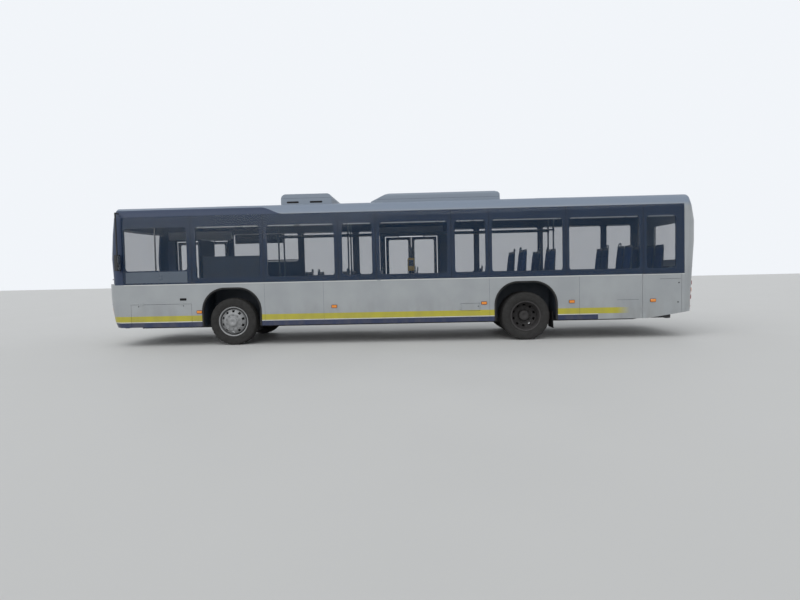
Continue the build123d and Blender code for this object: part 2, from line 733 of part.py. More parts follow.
beam_bottom = floor_bottom - BEAM_DEPTH
beam_from = BEAM_Y - BEAM_WIDTH / 2
beam_to = BEAM_Y + BEAM_WIDTH / 2
underframe = both_sides(station(FLOOR_START), bulkhead_x, beam_from, beam_to, beam_bottom, floor_bottom)
cross_places = [
    *FRONT_CROSS_STATIONS,
    *(FRONT_OVERHANG + WHEELBASE * share for share in MIDDLE_CROSS_SHARES),
    *(REAR_AXLE_STATION + (BULKHEAD_STATION - REAR_AXLE_STATION) * share for share in REAR_CROSS_SHARES),
]
for place in (*cross_places, FRONT_OVERHANG, REAR_AXLE_STATION):
    middle = station(place)
    member_sides = (middle - CROSS_WIDTH / 2, middle + CROSS_WIDTH / 2)
    underframe += block(*member_sides, -BEAM_Y, BEAM_Y, beam_bottom, floor_bottom)
    if place in cross_places:
        outrigger_bottom = floor_bottom - OUTRIGGER_DEPTH
        underframe += block(*member_sides, -inner_face, inner_face, outrigger_bottom, floor_bottom)
# The members' rear ends rise with the tail, so that they don't show below it
underframe -= Pos(0, 0, MEMBER_END_DROP - BEAM_DEPTH) * below_tail
tow_z = floor_bottom - BEAM_DEPTH / 2
tow_x = station(FLOOR_START)
underframe -= rod((tow_x - 1, BEAM_Y, tow_z), (tow_x + TOW_SOCKET_DEPTH, BEAM_Y, tow_z), TOW_SOCKET_RADIUS)
save("underframe", [underframe])
engine_from = platform_x + ENGINE_MARGIN
engine_to = bulkhead_x - ENGINE_MARGIN
engine = block(engine_from, engine_to, ENGINE_Y, ENGINE_Y + ENGINE_WIDTH, floor_bottom, ENGINE_TOP)
save("engine_block", [engine])


def turned(points):
    """A ring or disc turned about the Y axis, from a section of widths along Y and radii."""
    return revolve(Plane.YZ * make_face(Polyline(points, close=True)), Axis.Y)


def tyre(centre_y):
    """One tyre, its section built from the bead to the middle of the tread."""
    bead = RIM_RADIUS + FIT
    height = TYRE_RADIUS - bead
    half = [(TYRE_WIDTH / 2 - inset, bead + share * height) for inset, share in TYRE_SECTION]
    mirrored = [(-width, radius) for width, radius in reversed(half)]
    return Pos(0, centre_y, 0) * turned(half + mirrored)


def barrel(centre_y):
    """The drum of a rim with its two flanges, as section points from the left edge to the right."""
    lip = RIM_HALF_WIDTH + RIM_LIP
    top = RIM_RADIUS + RIM_LIP_HEIGHT
    return [
        (centre_y - lip, top),
        (centre_y - RIM_HALF_WIDTH, top),
        (centre_y - RIM_HALF_WIDTH, RIM_RADIUS),
        (centre_y + RIM_HALF_WIDTH, RIM_RADIUS),
        (centre_y + RIM_HALF_WIDTH, top),
        (centre_y + lip, top),
    ]


def front_rim():
    """Rim with a disc that bulges outwards, its hub and its brake disc."""
    bore = STUB_RADIUS + HINGE_CLEARANCE
    inner_radius = RIM_RADIUS - RIM_SHEET
    lip = RIM_HALF_WIDTH + RIM_LIP
    outline = barrel(0) + [
        (lip, inner_radius),
        (FRONT_DISC_EDGE, inner_radius),
        (FRONT_DISC_FACE, DISC_FLAT_RADIUS),
        (FRONT_DISC_FACE, HUB_RADIUS),
        (FRONT_HUB_END, HUB_RADIUS - 8),
        (FRONT_HUB_END, 0),
        (STUB_REACH, 0),
        (STUB_REACH, bore),
        (-BRAKE_FACE, bore),
        (-BRAKE_FACE, BRAKE_RADIUS),
        (BRAKE_THICKNESS - BRAKE_FACE, BRAKE_RADIUS),
        (BRAKE_THICKNESS - BRAKE_FACE, HUB_RADIUS),
        (FRONT_DISC_FACE - RIM_SHEET, HUB_RADIUS),
        (FRONT_DISC_FACE - RIM_SHEET, DISC_FLAT_RADIUS),
        (FRONT_DISC_EDGE - RIM_SHEET, inner_radius),
        (-lip, inner_radius),
    ]
    return turned(outline)


def twin_rims():
    """Two rims back to back on one hub, with their discs together between them."""
    centre = TWIN_SPACING / 2
    inner_radius = RIM_RADIUS - RIM_SHEET
    lip = RIM_HALF_WIDTH + RIM_LIP
    half = turned(
        barrel(centre)
        + [
            (centre + lip, inner_radius),
            (centre - REAR_DISC_EDGE + RIM_SHEET, inner_radius),
            (RIM_SHEET, DISC_FLAT_RADIUS),
            (RIM_SHEET, 0),
            (0, 0),
            (0, DISC_FLAT_RADIUS),
            (centre - REAR_DISC_EDGE, inner_radius),
            (centre - lip, inner_radius),
        ]
    )
    hub = rod((0, -REAR_HUB_REACH, 0), (0, REAR_HUB_END, 0), REAR_HUB_RADIUS)
    stub_bore = rod((0, -REAR_HUB_REACH, 0), (0, 0, 0), REAR_STUB_RADIUS + HINGE_CLEARANCE)
    return half + flipped(half) + hub - stub_bore


# Wheels on both sides
front_wheel_y = FRONT_TRACK / 2
rear_wheel_y = REAR_TRACK / 2
front_centre = Pos(FRONT_AXLE_X, front_wheel_y, TYRE_RADIUS)
rear_centre = Pos(REAR_AXLE_X, rear_wheel_y, TYRE_RADIUS)
wheel_parts = {
    "front_wheel_tyre": [front_centre * tyre(0)],
    "front_wheel_rim": [front_centre * front_rim()],
    "rear_wheel_tyres": [rear_centre * tyre(TWIN_SPACING / 2), rear_centre * tyre(-TWIN_SPACING / 2)],
    "rear_wheel_rims": [rear_centre * twin_rims()],
}

# Steering knuckles and axles
pin_top = TYRE_RADIUS + KINGPIN_HALF_HEIGHT
pin_bottom = TYRE_RADIUS - KINGPIN_HALF_HEIGHT
knuckle = rod((FRONT_AXLE_X, KINGPIN_Y, pin_bottom), (FRONT_AXLE_X, KINGPIN_Y, pin_top), KINGPIN_RADIUS)
knuckle += Pos(FRONT_AXLE_X, KINGPIN_Y, TYRE_RADIUS) * Cylinder(KNUCKLE_RADIUS, KNUCKLE_HEIGHT)
stub_end_y = front_wheel_y + STUB_REACH - 2
knuckle += rod((FRONT_AXLE_X, KINGPIN_Y, TYRE_RADIUS), (FRONT_AXLE_X, stub_end_y, TYRE_RADIUS), STUB_RADIUS)
wheel_parts["steering_knuckle"] = [knuckle]
for name, shapes in wheel_parts.items():
    save(f"{name}_right", shapes)
    save(f"{name}_left", [flipped(shape) for shape in shapes])

axle_top = AXLE_BOTTOM + AXLE_DEPTH
half_axle = AXLE_WIDTH / 2
strut_outer = KINGPIN_Y - KNUCKLE_RADIUS - AXLE_CLEARANCE
front_axle = block(
    FRONT_AXLE_X - half_axle, FRONT_AXLE_X + half_axle, -strut_outer, strut_outer, AXLE_BOTTOM, axle_top
)
front_axle += both_sides(
    FRONT_AXLE_X - half_axle,
    FRONT_AXLE_X + half_axle,
    strut_outer - STRUT_THICKNESS,
    strut_outer,
    AXLE_BOTTOM,
    pin_top + EAR_THICKNESS,
)
for ear_bottom in (pin_bottom - EAR_THICKNESS - FIT, pin_top + FIT):
    front_axle += both_sides(
        FRONT_AXLE_X - half_axle,
        FRONT_AXLE_X + half_axle,
        strut_outer - STRUT_THICKNESS,
        KINGPIN_Y + KINGPIN_RADIUS + 10,
        ear_bottom,
        ear_bottom + EAR_THICKNESS,
    )
rear_axle = block(
    REAR_AXLE_X - half_axle, REAR_AXLE_X + half_axle, -PORTAL_Y, PORTAL_Y, AXLE_BOTTOM, axle_top
)
rear_axle += both_sides(
    REAR_AXLE_X - PORTAL_HALF_LENGTH,
    REAR_AXLE_X + PORTAL_HALF_LENGTH,
    PORTAL_Y - PORTAL_THICKNESS,
    PORTAL_Y,
    AXLE_BOTTOM,
    TYRE_RADIUS + PORTAL_HEIGHT,
)
stub_start = (REAR_AXLE_X, PORTAL_Y - 1, TYRE_RADIUS)
stub = rod(stub_start, (REAR_AXLE_X, rear_wheel_y - 2, TYRE_RADIUS), REAR_STUB_RADIUS)
rear_axle += stub + flipped(stub)
for name, shape, axle_x in (
    ("front_axle_beam", front_axle, FRONT_AXLE_X),
    ("rear_axle", rear_axle, REAR_AXLE_X),
):
    pad_sides = (axle_x - half_axle, axle_x + half_axle, beam_from, beam_to)
    pads = both_sides(*pad_sides, axle_top - 1, beam_bottom - FIT)
    save(name, [shape + pads])

# Passenger doors: each leaf glides inwards on an arm that turns on a post beside the doorway
right_side = (HALF_WIDTH / 2, HALF_WIDTH + 1)
leaf_width = (DOOR_WIDTH - 2 * DOOR_EDGE_GAP - DOOR_CENTRE_GAP) / 2
arm_length = leaf_width / 2 + DOOR_PIVOT_OUTSIDE
pivot_y = HALF_WIDTH - DOOR_PIVOT_DEPTH
leaf_bottom = FLOOR_TOP + DOOR_FLOOR_GAP
leaf_top = DOOR_TOP - DOOR_TOP_GAP
header_bottom = DOOR_TOP + HEADER_GAP
leaf_layer = skin(0, LEAF_THICKNESS, 0, LENGTH)
leaf_glass_layer = skin(LEAF_GLASS_DEPTH, LEAF_GLASS_DEPTH + GLASS, 0, LENGTH)
lower_arm_z = leaf_bottom - LUG_DROP - ARM_THICKNESS
upper_arm_z = leaf_top + LUG_DROP


def door_leaf(first):
    """One leaf with its pane and the two lugs that its arms hold, from its first station."""
    last = first + leaf_width
    middle = station(first + leaf_width / 2)
    aperture = (first + LEAF_FRAME, last - LEAF_FRAME, leaf_bottom + LEAF_SILL, leaf_top - LEAF_FRAME)
    leaf = leaf_layer & block(station(first), station(last), *right_side, leaf_bottom, leaf_top)
    leaf -= side_rectangle(*aperture, LEAF_CORNER, *right_side)
    pane_edges = (aperture[0] + FIT, aperture[1] - FIT, aperture[2] + FIT, aperture[3] - FIT)
    pane = leaf_glass_layer & side_rectangle(*pane_edges, LEAF_CORNER, *right_side)
    half_arm = ARM_WIDTH / 2
    lug_outer_y = HALF_WIDTH - LEAF_THICKNESS + LUG_OVERLAP
    lug_sides = (middle - half_arm, middle + half_arm, pivot_y - half_arm, lug_outer_y)
    leaf += block(*lug_sides, leaf_bottom, leaf_bottom + LUG_THICKNESS)
    leaf += block(*lug_sides, leaf_top - LUG_THICKNESS, leaf_top)
    pin_low = leaf_bottom - LUG_DROP - ARM_THICKNESS
    pin_high = leaf_top + LUG_DROP + ARM_THICKNESS
    leaf += rod((middle, pivot_y, leaf_bottom + 1), (middle, pivot_y, pin_low), HINGE_PIN_RADIUS)
    leaf += rod((middle, pivot_y, leaf_top - 1), (middle, pivot_y, pin_high), HINGE_PIN_RADIUS)
    return [leaf, pane]


def door_arm(post_x):
    """A post in front of the doorway with its lower and upper arm, which reach to the middle of the leaf."""
    end_x = post_x + arm_length
    arm = rod((post_x, pivot_y, FLOOR_TOP + FIT), (post_x, pivot_y, header_bottom - FIT), POST_RADIUS)
    for low in (lower_arm_z, upper_arm_z):
        bar = Pos((post_x + end_x) / 2, pivot_y) * SlotCenterToCenter(arm_length, ARM_WIDTH)
        arm += Pos(0, 0, low) * extrude(bar, ARM_THICKNESS)
    hole = rod((end_x, pivot_y, 0), (end_x, pivot_y, ROOF_TOP), HINGE_PIN_RADIUS + HINGE_CLEARANCE)
    return arm - hole


headers = []
for name, (first, last) in door_edges.items():
    save(f"{name}_door_leaf_a", door_leaf(first + DOOR_EDGE_GAP))
    save(f"{name}_door_leaf_b", door_leaf(last - DOOR_EDGE_GAP - leaf_width))
    arm = door_arm(station(first + DOOR_EDGE_GAP - DOOR_PIVOT_OUTSIDE))
    door_middle = Plane(origin=(station((first + last) / 2), 0, 0), z_dir=(1, 0, 0))
    save(f"{name}_door_arm_a", [arm])
    save(f"{name}_door_arm_b", [mirror(arm, about=door_middle)])
    header = block(
        station(first) - SILL_DOOR_MARGIN,
        station(last) + SILL_DOOR_MARGIN,
        inner_face - HEADER_DEPTH,
        inner_face,
        header_bottom,
        header_bottom + HEADER_HEIGHT,
    )
    headers.append(header & inside)
save("door_headers", headers)

# Roof units
roof_seat = body_prism(-FIT, 0, LENGTH)
unit_foot = ROOF_TOP - UNIT_EMBED
small_unit = side_rectangle(
    *SMALL_UNIT_STATIONS, unit_foot, SMALL_UNIT_TOP, SMALL_UNIT_CORNER, -SMALL_UNIT_HALF, SMALL_UNIT_HALF
)
save("roof_unit_front", [small_unit - roof_seat])
# Side outline of the long unit: station, height
long_unit_outline = (
    (5516, unit_foot),
    (5516, LONG_UNIT_STEP),
    (5800, LONG_UNIT_TOP - 25),
    (5890, LONG_UNIT_TOP),
    (8030, LONG_UNIT_TOP),
    (8110, LONG_UNIT_TOP - 20),
    (8145, LONG_UNIT_TOP - 60),
    (8160, unit_foot),
)
long_unit = side_polygon(long_unit_outline, -LONG_UNIT_HALF, LONG_UNIT_HALF)
long_unit &= across_rectangle(
    LONG_UNIT_HALF, unit_foot - UNIT_EDGE, LONG_UNIT_TOP, UNIT_EDGE, FRONT_X, REAR_X
)
save("roof_unit_main", [long_unit - roof_seat])

# Mirrors on arms from the upper front corners
mirror_x = station(MIRROR_STATION)
head_y = HALF_WIDTH + MIRROR_GAP + MIRROR_WIDTH / 2
head = block(
    mirror_x - MIRROR_DEPTH / 2,
    mirror_x + MIRROR_DEPTH / 2,
    head_y - MIRROR_WIDTH / 2,
    head_y + MIRROR_WIDTH / 2,
    MIRROR_BOTTOM,
    MIRROR_TOP,
)
head = fillet(head.edges().filter_by(Axis.Z), MIRROR_CORNER)
arm = rod((mirror_x, head_y, MIRROR_TOP - 5), (mirror_x, head_y, MIRROR_ARM_Z), MIRROR_ARM_RADIUS)
arm += Pos(mirror_x, head_y, MIRROR_ARM_Z) * Sphere(MIRROR_ARM_RADIUS)
arm += rod((mirror_x, head_y, MIRROR_ARM_Z), (mirror_x, HALF_WIDTH - 150, MIRROR_ARM_Z), MIRROR_ARM_RADIUS)
mirror_arm = head + (arm - Pos(-FIT, 0, 0) * front_nose)
save("mirrors", [mirror_arm, flipped(mirror_arm)])

# Amber markers along both sides: station, height of the middle
MARKERS = (
    (2040, 690),
    (4770, 750),
    (REAR_AXLE_STATION - 825, 756),
    (REAR_AXLE_STATION + 895, 750),
    (LENGTH - 935, 742),
)
markers = []
for place, height in MARKERS:
    marker = block(
        station(place) - MARKER_LENGTH / 2,
        station(place) + MARKER_LENGTH / 2,
        HALF_WIDTH + FIT,
        HALF_WIDTH + FIT + MARKER_DEPTH,
        height - MARKER_HEIGHT / 2,
        height + MARKER_HEIGHT / 2,
    )
    markers.append(marker)
    if place < FLAPS["engine_side_door"][0]:
        markers.append(flipped(marker))
    else:
        seated_marker = Pos(0, FIT, 0) * flipped(marker)
save("side_markers", markers)
save("engine_side_door", [engine_side_door + seated_marker])

# Driver's place: podium, dashboard with the steering wheel, seat, partition and equipment cabinet
podium_top = FLOOR_TOP + PODIUM_HEIGHT
podium_bottom = FLOOR_TOP + FIT
podium = block(station(FLOOR_START), station(CAB_END), -floor_edge, -CAB_INNER_Y, podium_bottom, podium_top)
save("driver_podium", [podium])
dash_sides = (-inner_face + DASH_SIDE_GAP, DASH_RIGHT_Y)
dash = side_polygon(DASH_TOP_OUTLINE, *dash_sides)
dash += side_polygon(DASH_FRONT_OUTLINE, *dash_sides)
dash_foot = (station(FLOOR_START), station(DASH_FOOT_END), -floor_edge, -CAB_INNER_Y)
dash += block(*dash_foot, podium_top + FIT, DASH_SHELF_Z)
wheel_place = Plane(
    origin=(station(STEERING_STATION), STEERING_Y, STEERING_Z),
    z_dir=(math.sin(math.radians(STEERING_TILT)), 0, math.cos(math.radians(STEERING_TILT))),
)
column = extrude(wheel_place * Circle(STEERING_COLUMN_RADIUS), -STEERING_COLUMN)
wheel_ring = wheel_place * Torus(STEERING_RADIUS, STEERING_GRIP)
spokes = wheel_place * Box(2 * STEERING_RADIUS, STEERING_SPOKE_WIDTH, STEERING_GRIP)
spokes += wheel_place * Cylinder(STEERING_BOSS_RADIUS, STEERING_BOSS_HEIGHT)
dash += column + wheel_ring + spokes
dash &= Pos(WALL + FIT, 0, 0) * front_lower_nose + Pos(WALL + FIT, 0, 0) * front_nose
save("dashboard", [dash])


def seat_shape(back_station, y_middle, width, cushion_z):
    """A seat that faces the front, from the foot of its back, its middle, width and cushion height."""
    outline = [(back_station + along, cushion_z + up) for along, up in SEAT_OUTLINE]
    return side_polygon(outline, y_middle - width / 2, y_middle + width / 2)


driver_seat = seat_shape(DRIVER_SEAT_STATION, STEERING_Y, DRIVER_SEAT_WIDTH, podium_top + DRIVER_SEAT_HEIGHT)
seat_base = podium_top + DRIVER_SEAT_HEIGHT
pedestal_from = station(DRIVER_SEAT_STATION - PEDESTAL_FRONT)
pedestal_to = station(DRIVER_SEAT_STATION - PEDESTAL_BACK)
pedestal_sides = (STEERING_Y - DRIVER_PEDESTAL_HALF, STEERING_Y + DRIVER_PEDESTAL_HALF)
driver_seat += block(pedestal_from, pedestal_to, *pedestal_sides, podium_top + FIT, seat_base + 10)
headrest_from = station(DRIVER_SEAT_STATION + HEADREST_FRONT)
driver_seat += block(
    headrest_from, headrest_from + HEADREST_DEPTH, *pedestal_sides, seat_base + 500, seat_base + HEADREST_TOP
)
save("driver_seat", [driver_seat])
wall_ends = (station(CAB_END) + FIT, station(CAB_END) + PARTITION)
partition = block(*wall_ends, -inner_face, -CAB_INNER_Y, FLOOR_TOP + FIT, PARTITION_TOP)
partition += block(
    station(CAB_DOOR_START),
    station(CAB_END) + PARTITION,
    -CAB_INNER_Y + FIT,
    -CAB_INNER_Y + PARTITION,
    FLOOR_TOP + FIT,
    CAB_DOOR_TOP,
)
partition -= block(*wall_ends, -HALF_WIDTH, -floor_edge, 0, SILL_TOP + FIT)
save("driver_partition", [partition & inside])
front_box_top = FRONT_ARCH_TOP + BOX_HEADROOM
cabinet = block(
    FRONT_AXLE_X - FRONT_ARCH_HALF,
    FRONT_AXLE_X + FRONT_ARCH_HALF,
    -inner_face,
    -CABINET_INNER_Y,
    front_box_top + FIT,
    CABINET_TOP,
)
save("equipment_cabinet", [cabinet & inside])

# Passenger seats, pairs that face the front: share of the wheelbase at the foot of the back, side
FLOOR_SEATS = (
    (0.2468, -1),
    (0.3745, -1),
    (0.5021, -1),
    (0.6298, -1),
    (0.7574, -1),
    (0.8766, -1),
    (0.2468, 1),
    (0.3745, 1),
    (0.4732, 1),
    (0.8766, 1),
)
# Seats over the rear wheels: distance behind the axle
REAR_BOX_SEATS = (5, 575)
bench_station = BULKHEAD_STATION - PLATFORM_PLATE - BENCH_GAP
platform_rows = int((bench_station + SEAT_OUTLINE[0][0] - PLATFORM_START) / PLATFORM_PITCH)
rear_box_top = REAR_ARCH_TOP + BOX_HEADROOM
seat_rows = [(FRONT_OVERHANG + WHEELBASE * share, side, FLOOR_TOP) for share, side in FLOOR_SEATS]
for side in (-1, 1):
    seat_rows += [(REAR_AXLE_STATION + back, side, rear_box_top - SEAT_HEIGHT) for back in REAR_BOX_SEATS]
    for row in range(platform_rows):
        seat_rows.append((PLATFORM_START + PLATFORM_PITCH * (row + 1), side, PLATFORM_TOP))
seats = []
for back_station, side, base in seat_rows:
    seat = seat_shape(back_station, side * SEAT_PAIR_Y, SEAT_PAIR_WIDTH, base + SEAT_HEIGHT + FIT)
    if base in (FLOOR_TOP, PLATFORM_TOP):
        seat += block(
            station(back_station - PEDESTAL_FRONT),
            station(back_station - PEDESTAL_BACK),
            side * SEAT_PAIR_Y - PEDESTAL_HALF,
            side * SEAT_PAIR_Y + PEDESTAL_HALF,
            base + FIT,
            base + SEAT_HEIGHT + 10,
        )
    seats.append(seat)
bench = seat_shape(bench_station, 0, BENCH_WIDTH, PLATFORM_TOP + SEAT_HEIGHT)
bench += block(
    station(bench_station - PEDESTAL_FRONT),
    station(bench_station - PEDESTAL_BACK),
    -BENCH_WIDTH / 2,
    BENCH_WIDTH / 2,
    PLATFORM_TOP + FIT,
    PLATFORM_TOP + SEAT_HEIGHT + 10,
)
seats.append(bench)
save("passenger_seats", seats)

# Grab rails: two long rails under the roof, held by posts from the floor
RAIL_POSTS = (FRONT_OVERHANG + 750, FRONT_OVERHANG + 2260, REAR_AXLE_STATION - 1425, PLATFORM_START - 600)
ceiling = body_prism(WALL + FIT, 0, LENGTH)
rails = []
for rail_y in (-RAIL_Y, RAIL_Y):
    rail_ends = (station(RAIL_POSTS[0]), station(RAIL_POSTS[-1]))
    rail = rod((rail_ends[0], rail_y, RAIL_Z), (rail_ends[1], rail_y, RAIL_Z), RAIL_RADIUS)
    for place in RAIL_POSTS:
        post_x = station(place)
        rail += rod((post_x, rail_y, FLOOR_TOP + FIT), (post_x, rail_y, ROOF_TOP), RAIL_RADIUS)
    rails.append(rail & ceiling)
save("grab_rails", rails)
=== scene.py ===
import bmesh
import bpy
import math
from mathutils import Matrix, Vector


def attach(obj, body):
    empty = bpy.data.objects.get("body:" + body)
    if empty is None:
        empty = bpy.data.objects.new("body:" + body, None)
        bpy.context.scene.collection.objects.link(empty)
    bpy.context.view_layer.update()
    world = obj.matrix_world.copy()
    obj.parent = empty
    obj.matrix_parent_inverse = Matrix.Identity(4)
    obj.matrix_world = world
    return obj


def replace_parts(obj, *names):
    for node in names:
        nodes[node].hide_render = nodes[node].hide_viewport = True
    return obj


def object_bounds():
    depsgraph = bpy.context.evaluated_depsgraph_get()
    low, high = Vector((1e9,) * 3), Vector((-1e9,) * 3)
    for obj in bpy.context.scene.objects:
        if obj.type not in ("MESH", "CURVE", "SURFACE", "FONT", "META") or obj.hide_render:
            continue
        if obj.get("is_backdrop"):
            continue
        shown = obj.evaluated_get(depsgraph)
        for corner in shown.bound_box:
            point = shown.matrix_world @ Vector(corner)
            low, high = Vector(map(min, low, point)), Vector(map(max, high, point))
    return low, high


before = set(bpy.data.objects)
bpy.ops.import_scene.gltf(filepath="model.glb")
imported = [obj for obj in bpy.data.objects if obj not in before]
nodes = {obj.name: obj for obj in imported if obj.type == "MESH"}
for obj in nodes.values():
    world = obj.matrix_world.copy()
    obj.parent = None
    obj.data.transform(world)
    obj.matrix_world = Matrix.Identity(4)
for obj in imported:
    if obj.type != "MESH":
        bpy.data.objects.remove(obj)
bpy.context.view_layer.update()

# City bus. X runs along the bus with the front towards -X, and the passenger doors are on +Y.
# Lengths are in metres. A station is a distance behind the foremost point.
FRONT = -5.99
SIDE = 1.25
WAIST = 1.262
LEAN_TOP = 2.782
TUMBLEHOME = 0.02
TYRE = 0.478
FRONT_AXLE = FRONT + 2.7
REAR_AXLE = FRONT + 8.575
# How far a painted line stands proud, and how deep trim sits in the surface under it
LINE = 0.0008
SINK = 0.004


def at(station):
    """Place along X of a station."""
    return FRONT + station


def side_y(z):
    """Half width of the body at a height."""
    return SIDE - TUMBLEHOME * max(0.0, min(1.0, (z - WAIST) / (LEAN_TOP - WAIST)))


def both_sides(y_from, y_to):
    """The same span of Y on the left and on the right."""
    return [sorted((sign * y_from, sign * y_to)) for sign in (-1, 1)]


def circle(steps):
    """Cosine and sine of evenly spaced angles."""
    turns = [2 * math.pi * k / steps for k in range(steps)]
    return [(math.cos(a), math.sin(a)) for a in turns]


def linear(*screen):
    """A screen colour of 0 to 255 as Blender's linear colour."""
    return tuple(c / 255 / 12.92 if c <= 10 else ((c / 255 + 0.055) / 1.055) ** 2.4 for c in screen) + (1,)


def add_object(name, data):
    """A new object in the scene."""
    made = bpy.data.objects.new(name, data)
    bpy.context.scene.collection.objects.link(made)
    return made


def fill(node, values):
    """Sets inputs of a shader node, each one to a value or a link."""
    for socket, value in dict(values).items():
        if isinstance(value, bpy.types.NodeSocket):
            node.id_data.links.new(value, node.inputs[socket])
        else:
            node.inputs[socket].default_value = value
    return node


def add_node(tree, kind, values=(), **settings):
    """A new shader node with its settings and inputs."""
    node = tree.nodes.new("ShaderNode" + kind)
    for key, value in settings.items():
        setattr(node, key, value)
    return fill(node, values)


class Shader:
    """A node material and the few kinds of node that the finishes use."""

    def __init__(self, name):
        self.material = bpy.data.materials.new(name)
        self.material.use_nodes = True
        self.tree = self.material.node_tree
        self.surface = self.tree.nodes["Principled BSDF"]
        source = add_node(self.tree, "TexCoord")
        self.place, self.normal = source.outputs["Object"], source.outputs["Normal"]

    def math(self, operation, *values):
        return add_node(self.tree, "Math", enumerate(values), operation=operation).outputs[0]

    def mix(self, factor, first, second):
        return add_node(self.tree, "Mix", {0: factor, 6: first, 7: second}, data_type="RGBA").outputs[2]

    def noise(self, scale, detail=4.0, stretch=(1, 1, 1)):
        place = add_node(self.tree, "Mapping", {"Vector": self.place, "Scale": stretch}).outputs[0]
        values = {"Vector": place, "Scale": scale, "Detail": detail}
        return add_node(self.tree, "TexNoise", values).outputs["Fac"]

    def remap(self, *values, kind="LINEAR"):
        """A value taken from one range (low, high) to another."""
        return add_node(self.tree, "MapRange", enumerate(values), interpolation_type=kind).outputs[0]

    def axes(self, vector):
        return add_node(self.tree, "SeparateXYZ", {0: vector}).outputs

    def between(self, value, low, high):
        return self.math("MULTIPLY", self.math("GREATER_THAN", value, low), self.math("LESS_THAN", value, high))

    def bump(self, height, strength, distance):
        relief = add_node(self.tree, "Bump", {"Strength": strength, "Distance": distance, "Height": height})
        fill(self.surface, {"Normal": relief.outputs[0]})

    def finish(self, colour, rough, metal=0.0, coat=0.0, alpha=1.0):
        fill(self.surface, {"Base Color": colour, "Roughness": rough, "Metallic": metal, "Coat Weight": coat,
                            "Coat Roughness": 0.08, "Alpha": alpha, "IOR": 1.5})
        return self.material


def shade(colour, factor):
    """A lighter or darker colour."""
    return tuple(min(1.0, c * factor) for c in colour[:3]) + (1,)


def plain(name, colour, rough, metal=0.0, vary=0.12, scale=6.0, grain=0.0, grain_scale=250.0, coat=0.0):
    """A finish whose screen colour and roughness wander a little, with a fine grain where asked."""
    shader = Shader(name)
    colour = linear(*colour)
    patches = shader.noise(scale)
    if grain:
        shader.bump(shader.noise(grain_scale, 2.0), grain, 0.001)
    tint = shader.mix(patches, shade(colour, 1 - vary), shade(colour, 1 + vary))
    return shader.finish(tint, shader.remap(patches, 0.3, 0.7, rough * 0.85, rough * 1.15), metal, coat)


GREY = linear(156, 160, 162)
GREY_DARK = linear(147, 151, 154)
# The roof's grey is the body's grey made darker and bluer: painted shade with a painted sky reflection
SHADED_ROOF_GREY = linear(118, 130, 146)
YELLOW = linear(172, 164, 48)
CREAM = linear(205, 206, 200)
NAVY = linear(26, 40, 74)
DIRT = linear(96, 90, 80)
LINING = linear(58, 66, 76)
# Near-black band paint with a blue tint that is a painted reflection of the sky
BAND_WITH_SKY_TINT = linear(19, 40, 70)
# Heights of the painted lines, and where the yellow fades and the navy ends
SKIRT_TOP = 0.49
STRIPE_LOW = 0.505
STRIPE_HIGH = 0.62
STRIPE_FADE = (at(10.35), at(10.6))
SKIRT_END = at(9.98)
COVE_START, COVE_END = at(3.3), at(3.82)
COVE_TOP, COVE_LOW = 2.767, 2.612
FACES_IN = -0.3


def body_paint(name, stripes=False, band=False, cove=False, mask=False):
    """Grey-white paint with the stripes, the dark band with its painted sky reflection, a painted shade on the roof
    and the road dirt, by height and station.
    """
    shader = Shader(name)
    x, y, z = shader.axes(shader.place)
    clouds = shader.noise(1.6, 5.0)
    colour = shader.mix(shader.remap(clouds, 0.35, 0.65, 0.0, 1.0), GREY_DARK, GREY)
    # Above the band the paint turns to a darker blue-grey: painted shade on the roof
    colour = shader.mix(shader.remap(z, 2.56, 2.66, 0.0, 1.0), colour, SHADED_ROOF_GREY)
    streaks = shader.noise(5.0, 6.0, (1.2, 1.2, 0.45))
    low_down = shader.remap(z, 0.95, 0.4, 0.0, 0.34)
    grime = shader.math("MULTIPLY", low_down, shader.remap(streaks, 0.38, 0.72, 0.0, 1.0))
    if stripes:
        fade = shader.remap(x, *STRIPE_FADE, 1.0, 0.0)
        skirt_end = shader.math("LESS_THAN", x, SKIRT_END)
        lines = ((shader.between(z, STRIPE_LOW, STRIPE_HIGH), fade, YELLOW),
                 (shader.between(z, SKIRT_TOP, STRIPE_LOW), skirt_end, CREAM),
                 (shader.math("LESS_THAN", z, SKIRT_TOP), skirt_end, NAVY))
        for height, length, tint in lines:
            colour = shader.mix(shader.math("MULTIPLY", height, length), colour, tint)
    colour = shader.mix(grime, colour, DIRT)
    if stripes:
        # The faces that look into the bus have a plain lining
        facing = shader.axes(shader.normal)
        outward = shader.math("MULTIPLY", y, facing[1])
        if not band:
            outward = shader.math("ADD", outward, shader.math("MULTIPLY", x, facing[0]))
        colour = shader.mix(shader.math("LESS_THAN", outward, FACES_IN), colour, LINING)
    # Above the waist the near-black band paint, its blue a painted sky reflection
    if band:
        colour = shader.mix(shader.math("GREATER_THAN", z, WAIST - 0.001), colour, BAND_WITH_SKY_TINT)
    # The black of the front and the roof's front edge, with the same painted sky reflection
    if cove or mask:
        edge = shader.remap(x, COVE_START, COVE_END, COVE_TOP, COVE_LOW, kind="SMOOTHSTEP") if cove else COVE_TOP
        colour = shader.mix(shader.math("LESS_THAN", z, edge), colour, BAND_WITH_SKY_TINT)
        return shader.finish(colour, shader.remap(streaks, 0.3, 0.8, 0.5, 0.58), 0.0, 0.05)
    shader.bump(shader.noise(2.2, 1.0), 0.05, 0.002)
    duller = shader.remap(z, 2.4, 2.5, 0.0, 0.24)
    rough = shader.math("ADD", shader.remap(streaks, 0.3, 0.8, 0.3, 0.4), duller)
    return shader.finish(colour, rough, 0.0, 0.12)


